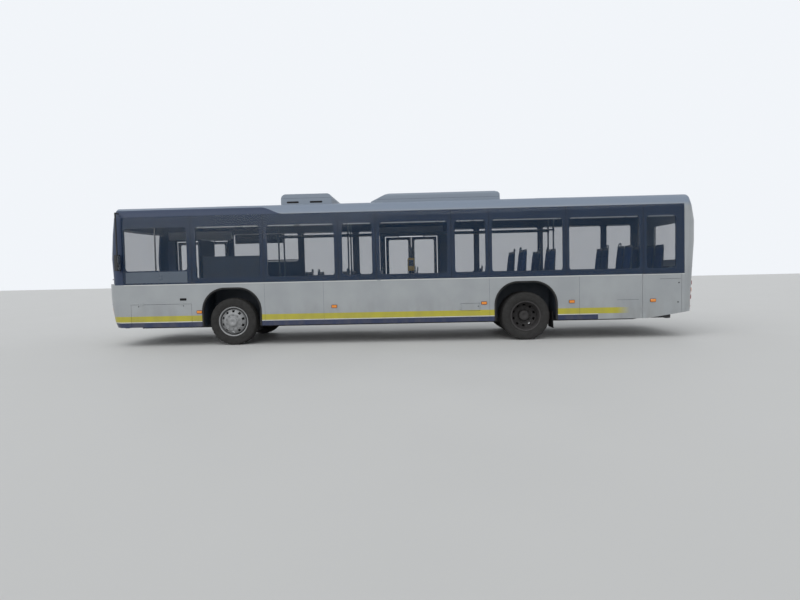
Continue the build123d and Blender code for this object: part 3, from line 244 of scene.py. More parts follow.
def tinted_glass(name, colour, alpha, rough=0.02):
    """See-through glass with a little dust."""
    shader = Shader(name)
    colour = linear(*colour)
    dust = shader.noise(3.0, 6.0)
    dusty = tuple(c * 1.8 for c in colour[:3]) + (1,)
    tint = shader.mix(shader.remap(dust, 0.4, 0.75, 0.0, 0.5), colour, dusty)
    return shader.finish(tint, shader.remap(dust, 0.3, 0.8, rough, rough + 0.06), alpha=alpha)


PAINT_SIDE = body_paint("paint_side", stripes=True, band=True)
PAINT_PLAIN = body_paint("paint_plain")
PAINT_STRIPED = body_paint("paint_striped", stripes=True)
PAINT_ROOF = body_paint("paint_roof", cove=True)
PAINT_MASK = body_paint("paint_mask", mask=True)
# The side glass is dark tinted glass, and its blue is a painted reflection of the sky
SIDE_GLASS_SKY_TINT = tinted_glass("glass_side", (18, 44, 68), 0.24)
GLASS_SCREEN = tinted_glass("glass_screen", (26, 38, 46), 0.24)
GLASS_DOOR = tinted_glass("glass_door", (22, 34, 44), 0.22)
BLACK_GLOSS = plain("black_gloss", (18, 26, 38), 0.14, coat=0.6)
BLACK_PLASTIC = plain("black_plastic", (28, 29, 31), 0.5, grain=0.25)
RUBBER = plain("rubber", (24, 24, 25), 0.75, grain=0.4, grain_scale=90.0)
CHASSIS = plain("chassis", (34, 34, 36), 0.65, vary=0.35, scale=9.0, grain=0.3, grain_scale=60.0)
CAST = plain("cast_iron", (72, 70, 68), 0.6, 0.6, vary=0.3, grain=0.5, grain_scale=80.0)
RIM_PAINT = plain("rim_paint", (136, 137, 138), 0.45, 0.25, vary=0.3, scale=14.0, grain=0.15)
RIM_DIRTY = plain("rim_dirty", (58, 56, 56), 0.7, 0.2, vary=0.45, scale=11.0, grain=0.3)
ALUMINIUM = plain("aluminium", (190, 192, 194), 0.3, 0.85, vary=0.06)
TRIM = plain("trim_panel", (150, 152, 154), 0.55, grain=0.15)
TRIM_DARK = plain("trim_dark", (46, 54, 64), 0.6, grain=0.2)
FLOOR_COVER = plain("floor_cover", (74, 78, 82), 0.8, vary=0.2, scale=120.0, grain=0.2)
SEAT_SHELL = plain("seat_shell", (46, 62, 84), 0.45, grain=0.15)
FABRIC = plain("seat_fabric", (34, 58, 104), 0.95, vary=0.5, scale=160.0, grain=0.6, grain_scale=700.0)
RAIL = plain("rail_paint", (88, 96, 102), 0.38, 0.45, vary=0.08)
ROOF_UNIT = plain("roof_unit", (130, 140, 152), 0.5, vary=0.08, scale=3.0, grain=0.08, grain_scale=30.0)
LAMP_RED = plain("lamp_red", (150, 16, 14), 0.15, coat=0.8)
LAMP_AMBER = plain("lamp_amber", (224, 132, 34), 0.2, coat=0.8)
LAMP_WHITE = plain("lamp_reflector", (206, 210, 214), 0.15, 0.8)
LAMP_CLEAR = tinted_glass("lamp_clear", (200, 206, 210), 0.3)
MIRROR_FACE = plain("mirror_face", (225, 228, 230), 0.03, 1.0, vary=0.02)
PLATE = plain("plate_blank", (214, 214, 210), 0.4)
# Near-black for openings and recesses: painted shade
SHADE_IN_OPENINGS = plain("dark_hole", (10, 10, 11), 0.9)
TYRE_RUBBER = plain("tyre_rubber", (34, 33, 32), 0.85, vary=0.3, scale=18.0, grain=0.5, grain_scale=120.0)

# Finishes of the CAD nodes
NODE_FINISH = {
    PAINT_SIDE: "side_wall_left side_wall_right locker_flap fuel_flap engine_side_door",
    PAINT_STRIPED: "front_panel", PAINT_PLAIN: "rear_shell engine_lid", PAINT_ROOF: "roof_panel",
    PAINT_MASK: "front_mask", GLASS_SCREEN: "windscreen", SIDE_GLASS_SKY_TINT: "body_windows", LAMP_CLEAR: "headlamps",
    LAMP_RED: "tail_lamps", LAMP_AMBER: "side_markers", ROOF_UNIT: "roof_unit_front roof_unit_main",
    BLACK_PLASTIC: "mirrors dashboard", TRIM: "door_headers", FABRIC: "driver_seat",
    TRIM_DARK: "driver_podium driver_partition equipment_cabinet wheel_boxes "
               "front_door_arm_a front_door_arm_b middle_door_arm_a middle_door_arm_b",
    SEAT_SHELL: "passenger_seats", RAIL: "grab_rails", FLOOR_COVER: "floor rear_platform",
    CHASSIS: "front_axle_beam rear_axle underframe side_sills",
    CAST: "engine_block steering_knuckle_left steering_knuckle_right",
    TYRE_RUBBER: "front_wheel_tyre_left front_wheel_tyre_right rear_wheel_tyres_left rear_wheel_tyres_right",
    RIM_PAINT: "front_wheel_rim_left front_wheel_rim_right",
    RIM_DIRTY: "rear_wheel_rims_left rear_wheel_rims_right",
    BLACK_GLOSS: "front_door_leaf_a front_door_leaf_b middle_door_leaf_a middle_door_leaf_b",
}
for finish, names in NODE_FINISH.items():
    for name in names.split():
        for slot in nodes[name].material_slots:
            slot.material = finish


# Mesh making
def set_along(axis, place, outline):
    """The points of a flat outline at a place along an axis."""
    return [{"x": (place, a, b), "y": (a, place, b), "z": (a, b, place)}[axis] for a, b in outline]


class Build:
    """Collects the points and faces of one piece."""

    def __init__(self):
        self.points = []
        self.faces = []

    def add(self, points, faces):
        base = len(self.points)
        self.points += [tuple(p) for p in points]
        self.faces += [tuple(base + i for i in face) for face in faces]
        return self

    def box(self, first, second):
        xs, ys, zs = (sorted(pair) for pair in zip(first, second))
        corners = [(x, y, z) for x in xs for y in ys for z in zs]
        return self.add(corners, ((0, 1, 3, 2), (4, 6, 7, 5), (0, 4, 5, 1), (2, 3, 7, 6), (0, 2, 6, 4), (1, 5, 7, 3)))

    def skin(self, rings, closed_path=False, caps=True):
        """Joins rings of the same number of points."""
        count = len(rings[0])
        faces = []
        for i in range(len(rings) if closed_path else len(rings) - 1):
            j = (i + 1) % len(rings)
            for k in range(count):
                m = (k + 1) % count
                faces.append((i * count + k, i * count + m, j * count + m, j * count + k))
        if caps and not closed_path:
            faces.append(tuple(range(count)))
            faces.append(tuple((len(rings) - 1) * count + k for k in reversed(range(count))))
        return self.add([p for ring in rings for p in ring], faces)

    def tube(self, path, radius, sides=10, closed=False):
        """A round bar through a list of points."""
        path = [Vector(p) for p in path]
        rings = []
        guide = None
        for i, point in enumerate(path):
            before = path[i - 1] if i or closed else point
            after = path[(i + 1) % len(path)] if i + 1 < len(path) or closed else point
            along = (after - before).normalized()
            if guide is None:
                guide = along.orthogonal().normalized()
            guide = (guide - along * guide.dot(along)).normalized()
            other = along.cross(guide)
            rings.append([point + (guide * c + other * s) * radius for c, s in circle(sides)])
        return self.skin(rings, closed_path=closed)

    def turned(self, centre, profile, steps, outward, wave=None):
        """A ring shape turned about an axis along Y, from (distance outwards, radius) points."""
        x, y, z = centre
        rings = []
        for step, (c, s) in enumerate(circle(steps)):
            sizes = [(out, radius - (wave(step, i) if wave else 0)) for i, (out, radius) in enumerate(profile)]
            rings.append([(x + size * c, y + outward * out, z + size * s) for out, size in sizes])
        return self.skin(rings, closed_path=True)

    def round(self, axis, centre, rows, steps):
        """A round solid about an axis, from (place along it, radius) rows."""
        a, b = centre
        return self.skin([set_along(axis, place, [(a + size * c, b + size * s) for c, s in circle(steps)])
                          for place, size in rows])

    def prism(self, outline, y_from, y_to):
        """A side view outline of X and Z made thick in Y."""
        return self.skin([set_along("y", y, outline) for y in (y_from, y_to)])

    def block(self, axis, centre, size, corner, levels, steps=5, caps=True):
        """A rounded block along an axis, from (place along it, inset) levels, some with a corner of their own."""
        rings = []
        for place, inset, *own in levels:
            bend = own[0] if own else corner
            outline = rounded(size[0] - 2 * inset, size[1] - 2 * inset, bend, steps, centre)
            rings.append(set_along(axis, place, outline))
        return self.skin(rings, caps=caps)

    def strip(self, surface, y_from, y_to, z_low, z_high, lift, steps=16, sink=SINK):
        """A flat band across an end, standing proud of it by lift."""
        corners = ((z_low, -sink), (z_low, lift), (z_high, lift), (z_high, -sink))
        places = [y_from + (y_to - y_from) * i / steps for i in range(steps + 1)]
        return self.skin([[(surface(y, z, out), y, z) for z, out in corners] for y in places])

    def on_end(self, surface, y, z, rows, steps, caps=True):
        """A round form that follows an end's surface, from (distance outwards, radius) rows."""
        rings = []
        for out, size in rows:
            spots = [(y + size * c, z + size * s) for c, s in circle(steps)]
            rings.append([(surface(a, b, out), a, b) for a, b in spots])
        return self.skin(rings, caps=caps)

    def lens(self, surface, y, z, radius, depth, sink=0.02, steps=28, base=0.0):
        """A domed round lamp."""
        rows = ((-sink, 1), (0.0, 1), (depth * 0.4, 0.96), (depth * 0.8, 0.75), (depth, 0.35))
        return self.on_end(surface, y, z, [(base + out, radius * share) for out, share in rows], steps)

    def bowl(self, surface, y, z, radius, depth, base):
        """A lamp's reflector, open outwards."""
        rim = [(base, radius + 0.006), (base + 0.003, radius + 0.003)]
        inside = ((0.0, 1), (0.5, 0.8), (0.9, 0.45), (1, 0.2))
        rows = rim + [(base - depth * deep, radius * share) for deep, share in inside]
        return self.on_end(surface, y, z, rows, 28, caps=False)

    def side_slab(self, x_from, x_to, levels, sign, near, far):
        """An upright slab in the body's side, from one depth below the surface to another."""
        corners = ((x_from, near), (x_to, near), (x_to, far), (x_from, far))
        return self.skin([[(x, sign * (side_y(z) - depth), z) for x, depth in corners] for z in levels])

    def make(self, name, finish, body="body", bevel=0.0, slot=None):
        mesh = bpy.data.meshes.new(name)
        mesh.from_pydata(self.points, [], self.faces)
        work = bmesh.new()
        work.from_mesh(mesh)
        bmesh.ops.recalc_face_normals(work, faces=work.faces)
        work.to_mesh(mesh)
        work.free()
        mesh.materials.append(finish)
        mesh.shade_smooth()
        mesh.set_sharp_from_angle(angle=math.radians(38))
        made = add_object(name, mesh)
        if bevel:
            rounding = made.modifiers.new("edges", "BEVEL")
            rounding.width = bevel
            rounding.segments = 2
            rounding.limit_method = "ANGLE"
        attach(made, body)
        return made


def builds(count):
    """Several empty pieces."""
    return [Build() for _ in range(count)]


def strips(name, finish, surface, *rows, **looks):
    """A piece made of flat bands across an end."""
    build = Build()
    for row in rows:
        build.strip(surface, *row)
    return build.make(name, finish, **looks)


def add_plate(end, surface, low, steps, body):
    """A blank number plate on its holder."""
    strips(f"{end}_plate_holder", BLACK_PLASTIC, surface, (-0.27, 0.27, low, low + 0.124, 0.004, steps), body=body)
    strips(f"{end}_plate", PLATE, surface, (-0.26, 0.26, low + 0.007, low + 0.117, 0.0055, steps, -0.003), body=body)


def rounded(width, height, corner, steps, centre):
    """Points of a rounded rectangle round its centre."""
    points = []
    for sign_x, sign_y, start in ((1, 1, 0), (-1, 1, 90), (-1, -1, 180), (1, -1, 270)):
        for step in range(steps + 1):
            angle = math.radians(start + 90 * step / steps)
            points.append((centre[0] + sign_x * (width / 2 - corner) + corner * math.cos(angle),
                           centre[1] + sign_y * (height / 2 - corner) + corner * math.sin(angle)))
    return points


# Wheels: tyres with ribs and shoulder blocks, rims with hand holes and nuts
BEAD = 0.2863
GROOVE = 0.012
TYRE_SIDE = (
    (0.1115, BEAD), (0.1118, 0.3), (0.121, 0.309), (0.1265, 0.322), (0.129, 0.33), (0.1345, 0.345),
    (0.1378, 0.375), (0.1375, 0.4), (0.135, 0.42), (0.1355, 0.432), (0.133, 0.44), (0.1285, 0.455),
    (0.123, 0.466), (0.106, 0.4735),
)


def tyre_profile():
    """Section of a tyre: sides, shoulders and the grooves between the ribs."""
    half = list(TYRE_SIDE)
    for middle, top in ((0.078, TYRE - 0.002), (0.027, TYRE - 0.0005)):
        floor = top - GROOVE
        half += [(middle + 0.007, top), (middle + 0.005, floor), (middle - 0.005, floor), (middle - 0.007, top)]
    return half + [(-out, radius) for out, radius in reversed(half)]


PROFILE = tyre_profile()
SHOULDER = {12, 13, 14, len(PROFILE) - 13, len(PROFILE) - 14, len(PROFILE) - 15}


def tread_wave(step, index):
    """Cuts the shoulder into blocks."""
    return 0.007 if index in SHOULDER and step % 4 == 0 else 0.0


def nuts(build, centre, count, turn, circle_radius, base, height, outward, size=0.0165):
    """A circle of wheel nuts with their studs."""
    for index in range(count):
        angle = math.radians(360 / count * index + turn)
        middle = (centre[0] + circle_radius * math.cos(angle), centre[2] + circle_radius * math.sin(angle))
        nut, stud = (6, base - 0.004, base + height * 0.7, size), (8, base, base + height, size * 0.55)
        for steps, low, top, radius in (nut, stud):
            build.round("y", middle, [(centre[1] + outward * out, radius) for out in (low, top)], steps)


HAND_HOLES = 10
DISC_STEPS = 80
DISC_SHEET = 0.008


def is_open(step, row):
    """Whether a part of a wheel disc lies in a hand hole."""
    return row in (2, 3) and step % (DISC_STEPS // HAND_HOLES) in (2, 3, 4)


def pierced_disc(build, centre, profile, outward):
    """A turned disc with hand holes left open and their edges closed."""
    rows = len(profile)
    points = []
    for behind in (0.0, DISC_SHEET):
        for c, s in circle(DISC_STEPS):
            for out, radius in profile:
                points.append((centre[0] + radius * c, centre[1] + outward * (out - behind), centre[2] + radius * s))
    faces = []

    def face(*spots):
        faces.append(tuple((side * DISC_STEPS + step % DISC_STEPS) * rows + row for side, step, row in spots))

    for step in range(DISC_STEPS):
        for row in range(rows - 1):
            if is_open(step, row):
                continue
            across, down = step + 1, row + 1
            for side in (0, 1):
                face((side, step, row), (side, across, row), (side, across, down), (side, step, down))
            # Edges of the sheet where a hand hole begins
            for beside, first, second in (((across, row), (across, row), (across, down)),
                                          ((step - 1, row), (step, row), (step, down)),
                                          ((step, down), (step, down), (across, down)),
                                          ((step, row - 1), (step, row), (across, row))):
                if is_open(*beside):
                    face((0, *first), (0, *second), (1, *second), (1, *first))
    build.add(points, faces)


# The drum of a rim with rolled flanges, as a closed section
BARREL = (
    (0.124, 0.297), (0.12, 0.3015), (0.113, 0.3), (0.1115, 0.286), (0.06, 0.28), (0.03, 0.26), (-0.03, 0.26),
    (-0.06, 0.28), (-0.1115, 0.286), (-0.113, 0.3), (-0.118, 0.2995), (-0.117, 0.277), (-0.066, 0.271),
    (-0.036, 0.251), (0.036, 0.251), (0.066, 0.271), (0.117, 0.277), (0.124, 0.293),
)
FRONT_DISC = (
    (0.0655, 0.253), (0.096, 0.248), (0.113, 0.23), (0.129, 0.208), (0.148, 0.188), (0.156, 0.174), (0.158, 0.16),
    (0.158, 0.12), (0.158, 0.118),
)
FRONT_HUB = (
    (0.02, 0.119), (0.16, 0.119), (0.164, 0.115), (0.166, 0.098), (0.17, 0.093), (0.184, 0.089), (0.1878, 0.082),
    (0.1878, 0.03), (0.185, 0.026), (0.185, 0.001), (0.061, 0.001), (0.061, 0.049), (0.02, 0.049),
)
BRAKE_DISC = (
    (-0.06, 0.06), (-0.06, 0.215), (-0.045, 0.217), (-0.044, 0.2), (-0.041, 0.2), (-0.04, 0.217), (-0.025, 0.215),
    (-0.025, 0.1), (0.03, 0.1), (0.03, 0.06),
)
REAR_DISC = (
    (0.089, 0.253), (0.076, 0.246), (0.056, 0.228), (0.036, 0.208), (0.018, 0.19), (0.011, 0.174), (0.01, 0.16),
    (0.01, 0.112),
)
REAR_HUB = (
    (-0.269, 0.062), (-0.269, 0.109), (0.08, 0.109), (0.086, 0.105), (0.106, 0.098), (0.1115, 0.09),
    (0.1115, 0.035), (0.108, 0.03), (0.108, 0.001), (0.001, 0.001), (0.001, 0.062),
)
FRONT_WHEEL_Y, TWIN_MIDDLE, TWIN_OFFSET = 1.05, 0.917, 0.155
for side, sign in (("left", -1), ("right", 1)):
    centre = (FRONT_AXLE, sign * FRONT_WHEEL_Y, TYRE)
    tyre, rim, brake = builds(3)
    tyre.turned(centre, PROFILE, 120, sign, tread_wave)
    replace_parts(tyre.make(f"front_tyre_{side}", TYRE_RUBBER, f"front_wheel_{side}"), f"front_wheel_tyre_{side}")
    rim.turned(centre, BARREL, 64, sign)
    pierced_disc(rim, centre, FRONT_DISC, sign)
    rim.turned(centre, FRONT_HUB, 48, sign)
    nuts(rim, centre, 10, 18, 0.14, 0.158, 0.03, sign)
    nuts(rim, centre, 8, 0, 0.072, 0.187, 0.0005, sign, 0.008)
    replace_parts(rim.make(f"front_rim_{side}", RIM_PAINT, f"front_wheel_{side}"), f"front_wheel_rim_{side}")
    brake.turned(centre, BRAKE_DISC, 64, sign)
    brake.make(f"front_brake_disc_{side}", CAST, f"front_wheel_{side}")

    centre = (REAR_AXLE, sign * TWIN_MIDDLE, TYRE)
    tyres, rims = builds(2)
    for offset in (-TWIN_OFFSET, TWIN_OFFSET):
        middle = (REAR_AXLE, sign * (TWIN_MIDDLE + offset), TYRE)
        tyres.turned(middle, PROFILE, 120, sign, tread_wave)
        rims.turned(middle, BARREL, 64, sign)
    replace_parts(tyres.make(f"rear_tyres_{side}", TYRE_RUBBER, f"rear_wheel_{side}"), f"rear_wheel_tyres_{side}")
    for direction in (1, -1):
        pierced_disc(rims, centre, REAR_DISC, sign * direction)
    rims.turned(centre, REAR_HUB, 48, sign)
    nuts(rims, centre, 10, 0, 0.1425, 0.01, 0.034, sign)
    nuts(rims, centre, 8, 0, 0.078, 0.1105, 0.0005, sign, 0.008)
    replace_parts(rims.make(f"rear_rims_{side}", RIM_DIRTY, f"rear_wheel_{side}"), f"rear_wheel_rims_{side}")

# Surfaces of the body's ends, from (height, set back) rows
MASK_FOOT = 1.285
UPPER_ROWS = ((MASK_FOOT, 0.065), (1.8, 0.042), (2.3, 0.08), (2.6, 0.118), (2.74, 0.16), (2.82, 0.225), (2.9, 0.47))
LOWER_ROWS = ((0.395, 0.11), (0.515, 0.06), (0.82, 0.015), (1.12, 0.0), (MASK_FOOT, 0.0))
REAR_ROWS = (
    (0.395, 0.085), (MASK_FOOT, 0.04), (1.9, 0.0), (2.3, 0.0), (2.6, 0.05), (2.74, 0.1), (2.82, 0.16), (2.9, 0.38),
)


def along_rows(rows, z):
    for (z0, back0), (z1, back1) in zip(rows, rows[1:]):
        if z <= z1:
            return back0 + (back1 - back0) * max(0.0, z - z0) / (z1 - z0)
    return rows[-1][1]


def end_set_back(y, bulge, corner):
    """How far an end falls back at a distance from the middle."""
    flat = SIDE - corner
    y = min(abs(y), SIDE - 0.002)
    back = bulge * (min(y, flat) / SIDE) ** 2
    if y > flat:
        back += corner - math.sqrt(corner ** 2 - (y - flat) ** 2)
    return back


def front_x(y, z, lift=0.0):
    rows = UPPER_ROWS if z > MASK_FOOT else LOWER_ROWS
    return FRONT + along_rows(rows, z) + end_set_back(y, 0.2, 0.35) - lift


def rear_x(y, z, lift=0.0):
    return -FRONT - along_rows(REAR_ROWS, z) - end_set_back(y, 0.09, 0.25) + lift


def path_normal(path, i):
    """The direction square to a flat path at one of its points."""
    before, after = path[max(i - 1, 0)], path[min(i + 1, len(path) - 1)]
    run = Vector((after[0] - before[0], after[1] - before[1])).normalized()
    return -run.y, run.x


# Rubber rims round the wheel arches
arch_rims = Build()
ARCH_SECTION = ((-0.004, -0.05), (-0.004, 0.004), (0.004, 0.01), (0.026, 0.01), (0.032, 0.004), (0.032, -0.006))
ARCH_CORNER = 0.44
for axle, half, top in ((FRONT_AXLE, 0.575, 1.14), (REAR_AXLE, 0.59, 1.145)):
    edge, shoulder = axle - half, top - ARCH_CORNER
    path = [(edge, z) for z in (0.396, 0.55, shoulder)]
    for degrees in range(6, 91, 6):
        angle = math.radians(degrees)
        path.append((edge + ARCH_CORNER * (1 - math.cos(angle)), shoulder + ARCH_CORNER * math.sin(angle)))
    path += [(2 * axle - x, z) for x, z in reversed(path)]
    for sign in (-1, 1):
        rings = []
        for i, (x, z) in enumerate(path):
            dx, dz = path_normal(path, i)
            rings.append([(x + dx * out, sign * (SIDE + lift), z + dz * out) for out, lift in ARCH_SECTION])
        arch_rims.skin(rings)
arch_rims.make("arch_rims", RUBBER)

# Window trims: pale rails at the heads and feet of the panes, dark gaskets between the panes
REAR_PANE_ENDS = (5.625, 7.12, 7.86, 9.37, 10.865)
PANE_ENDS = {-1: (1.91, 3.37, 4.873) + REAR_PANE_ENDS, 1: (1.91, 3.64, 4.97) + REAR_PANE_ENDS}
REAR_WINDOWS = ((7.196, 7.793), (7.924, 9.307), (9.433, 10.795), (10.93, 11.495))
WINDOWS = {
    -1: ((2.0, 3.296), (3.445, 4.794), (4.952, 5.549), (5.702, 7.045)) + REAR_WINDOWS,
    1: ((2.0, 3.566), (3.715, 4.891), (5.049, 5.549)) + REAR_WINDOWS,
}
SILL, HIGH_SILL = 1.34, 1.732
head_rails, gaskets, sill_rails = builds(3)
for sign in (-1, 1):
    for first, last in WINDOWS[sign]:
        head_y = side_y(2.39) - 0.03
        head_rails.box((at(first + 0.03), sign * head_y, 2.378), (at(last - 0.03), sign * (head_y - 0.02), 2.398))
        sill = HIGH_SILL if (sign, first) == (1, 2.0) else SILL
        foot = (at(first + 0.02), sign * (SIDE - 0.05), sill)
        sill_rails.box(foot, (at(last - 0.02), sign * (SIDE - 0.08), sill + 0.032))
    for place in PANE_ENDS[sign]:
        if sign < 0 or place != 5.625:
            x = at(place)
            gaskets.side_slab(x - 0.0042, x + 0.0042, (WAIST + 0.004, 1.9, 2.612), sign, 0.007, 0.0015)
head_rails.make("window_head_rails", ALUMINIUM)
sill_rails.make("window_sill_rails", TRIM)
gaskets.make("window_gaskets", RUBBER)

# Waist moulding under the glazing
MOULDING = plain("moulding", (196, 198, 196), 0.3, vary=0.05, coat=0.4)
LEFT_MOULDINGS = ((0.515, 5.64), (5.71, 10.835), (11.606, 11.652))
RIGHT_MOULDINGS = ((1.87, 5.66), (6.94, 11.652))


def add_moulding(build, first, last, sign, shoulder, top):
    """A length of moulding along a side."""
    section = ((-0.002, 1.24), (0.004, 1.243), (0.005, shoulder), (-0.002, top))
    return build.skin([[(at(s), sign * (SIDE + lift), z) for lift, z in section] for s in (first, last)])


moulding = Build()
for sign, spans in ((-1, LEFT_MOULDINGS), (1, RIGHT_MOULDINGS)):
    for first, last in spans:
        add_moulding(moulding, first, last, sign, 1.256, 1.2605)
moulding.make("waist_moulding", MOULDING, slot="body_paint")
door_moulding = add_moulding(Build(), 10.845, 11.596, -1, 1.254, 1.2565)
door_moulding.make("engine_door_moulding", MOULDING, "engine_side_door", slot="body_paint")


# Locks, the recessed grip, seams and a bracket
def lock(build, station, z, radius=0.011):
    """A round lock on the left side."""
    rows = ((-0.003, 1), (0.002, 1), (0.003, 0.8), (0.0015, 0.6), (0.0015, 0.2))
    return build.round("y", (at(station), z), [(-SIDE - out, radius * share) for out, share in rows], 16)


lock(lock(Build(), 0.8, 0.82), 1.72, 0.82).make("locker_locks", BLACK_PLASTIC, "locker_flap")
lock(Build(), 7.635, 0.695).make("fuel_lock", BLACK_PLASTIC, "fuel_flap")
engine_locks = lock(lock(Build(), 11.545, 1.08, 0.014), 11.527, 0.7, 0.014)
engine_locks.box((at(11.18), -SIDE - 0.0025, 1.158), (at(11.58), -SIDE + 0.002, 1.162))
engine_locks.make("engine_door_locks", BLACK_PLASTIC, "engine_side_door")
# The recessed grip is a thin block on the side's surface, and its near-black is a painted shade of the recess
grip = Build()
for size, corner, z, out in (((0.135, 0.048), 0.016, 0.95, 0.002), ((0.115, 0.012), 0.005, 0.962, 0.006)):
    grip.block("y", (at(1.7175), z), size, corner, ((-SIDE - out, 0), (-SIDE + 0.002, 0)))
grip.make("recessed_grip", SHADE_IN_OPENINGS)
seams = Build().box((at(10.35), -SIDE - 0.0015, 0.763), (at(10.77), -SIDE + 0.002, 0.767))
for sign in (-1, 1):
    for place in (3.372, 4.56, 7.86, 9.62):
        x, y = at(place), sign * SIDE
        seams.box((x - 0.0015, y - LINE, 0.4), (x + 0.0015, y + LINE, 1.24))
seams.make("panel_seams", TRIM_DARK)
bracket = Build().box((at(9.99), -1.236, 0.425), (at(10.05), -1.206, 0.47))
bracket.box((at(10.005), -1.23, 0.47), (at(10.035), -1.21, 0.6))
bracket.make("skirt_bracket", BLACK_PLASTIC, bevel=0.004)

# Mud flaps behind the rear wheels
flaps = Build()
for sign in (-1, 1):
    corners = ((0.0, 0.73), (0.0, 1.18), (0.007, 1.18), (0.007, 0.73))
    rings = []
    for z, back in ((0.56, 0.0), (0.42, 0.002), (0.3, 0.006), (0.22, 0.012)):
        rings.append([(REAR_AXLE + 0.534 + back + x, y * sign, z) for x, y in corners])
    flaps.skin(rings)
flaps.make("mud_flaps", RUBBER, bevel=0.001)

# Rings round the side markers, one of them with its lens on the engine bay's side door
marker_bases, side_door_base = builds(2)
for station, z in ((2.04, 0.69), (4.77, 0.75), (7.75, 0.756), (9.47, 0.75), (11.045, 0.742)):
    for low, high in both_sides(SIDE - 0.001, SIDE + 0.0045):
        target = side_door_base if low < 0 and station > 11 else marker_bases
        target.block("y", (at(station), z), (0.118, 0.066), 0.016, ((low, 0), (high, 0)))
levels = ((-SIDE - 0.002, 0), (-SIDE - 0.012, 0), (-SIDE - 0.014, 0.004, 0.01))
door_marker = Build().block("y", (at(11.045), 0.742), (0.1035, 0.0535), 0.012, levels, 4)
door_marker.make("engine_door_marker", LAMP_AMBER, "engine_side_door")
marker_bases.make("marker_bases", RUBBER)
side_door_base.make("side_door_marker_base", RUBBER, "engine_side_door")

# Door leaves: black frames, clear panes, rubber edges and handrails
LEAF_LOW, LEAF_HIGH, LEAF_WIDTH = 0.457, 2.24, 0.606
LEAF_PIVOT_Y = 1.158
EDGE_SECTION = ((0.0105, 0.004), (0.004, 0.006), (0.0005, 0.014), (0.0005, 0.022), (0.004, 0.03), (0.0105, 0.032))
FOOT_SECTION = ((0.006, 0.017), (0.01, 0.001), (0.026, 0.001), (0.03, 0.017))
HANDRAIL = ((0.03, 0.95), (0.055, 0.955), (0.064, 0.985), (0.064, 1.25), (0.066, 1.5), (0.06, 1.535), (0.034, 1.545))


def dense(low_x, high_x, low_z, high_z, corner, runs=8, steps=5):
    """Points of a rounded upright rectangle, with points along its sides too."""
    centre = ((low_x + high_x) / 2, (low_z + high_z) / 2)
    points = rounded(high_x - low_x, high_z - low_z, corner, steps, centre)
    full = []
    for i, (x, z) in enumerate(points):
        full.append((x, z))
        if i % (steps + 1) == steps:
            next_x, next_z = points[(i + 1) % len(points)]
            full += [(x + (next_x - x) * k / runs, z + (next_z - z) * k / runs) for k in range(1, runs)]
    return full


def side_ring(build, outer, inner, near, far):
    """A frame in the right side between two outlines, from one depth below the surface to another."""
    rings = []
    for a, b in zip(outer, inner):
        corners = ((a, near), (b, near), (b, far), (a, far))
        rings.append([(x, side_y(z) - depth, z) for (x, z), depth in corners])
    build.skin(rings, closed_path=True)


for door, first in (("front", 0.605), ("middle", 5.675)):
    for leaf, start in (("a", first + 0.014), ("b", first + 0.63)):
        x0, x1 = at(start), at(start) + LEAF_WIDTH
        node = f"{door}_door_leaf_{leaf}"
        frame_piece, pane, rubber, handle = builds(4)
        outer = dense(x0 + 0.01, x1 - 0.01, LEAF_LOW + 0.016, LEAF_HIGH - 0.004, 0.012)
        inner = dense(x0 + 0.062, x1 - 0.062, LEAF_LOW + 0.15, LEAF_HIGH - 0.062, 0.05)
        step_in = dense(x0 + 0.07, x1 - 0.07, LEAF_LOW + 0.158, LEAF_HIGH - 0.07, 0.044)
        side_ring(frame_piece, outer, inner, 0.002, 0.033)
        side_ring(frame_piece, inner, step_in, 0.007, 0.012)
        side_ring(frame_piece, inner, step_in, 0.018, 0.022)
        middle = (x0 + x1) / 2
        for low, pin_low in ((LEAF_LOW, LEAF_LOW - 0.02), (LEAF_HIGH - 0.012, LEAF_HIGH)):
            frame_piece.block("z", (middle, 1.1775), (0.036, 0.075), 0.012, ((low, 0), (low + 0.012, 0)), 4)
            frame_piece.round("z", (middle, LEAF_PIVOT_Y), ((pin_low, 0.0085), (pin_low + 0.02, 0.0085)), 14)
        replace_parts(frame_piece.make(f"{node}_frame", BLACK_GLOSS, node, bevel=0.0015), node)
        levels = (LEAF_LOW + 0.146, WAIST, 1.9, LEAF_HIGH - 0.058)
        pane.side_slab(x0 + 0.058, x1 - 0.058, levels, 1, 0.013, 0.017)
        pane.make(f"{node}_pane", GLASS_DOOR, node)
        for edge_x, direction in ((x0, 1), (x1, -1)):
            levels = (LEAF_LOW + 0.004, WAIST, LEAF_HIGH - 0.002)
            rubber.skin([[(edge_x + direction * out, side_y(z) - depth, z) for out, depth in EDGE_SECTION]
                         for z in levels])
        ends = (x0 + 0.006, x1 - 0.006)
        rubber.skin([[(x, SIDE - depth, LEAF_LOW + rise) for depth, rise in FOOT_SECTION] for x in ends])
        rubber.make(f"{node}_rubber", RUBBER, node)
        near_middle = x1 - 0.085 if leaf == "a" else x0 + 0.085
        handle.tube([(near_middle, SIDE - depth, z) for depth, z in HANDRAIL], 0.0085, 12)
        handle.make(f"{node}_handrail", RAIL, node)

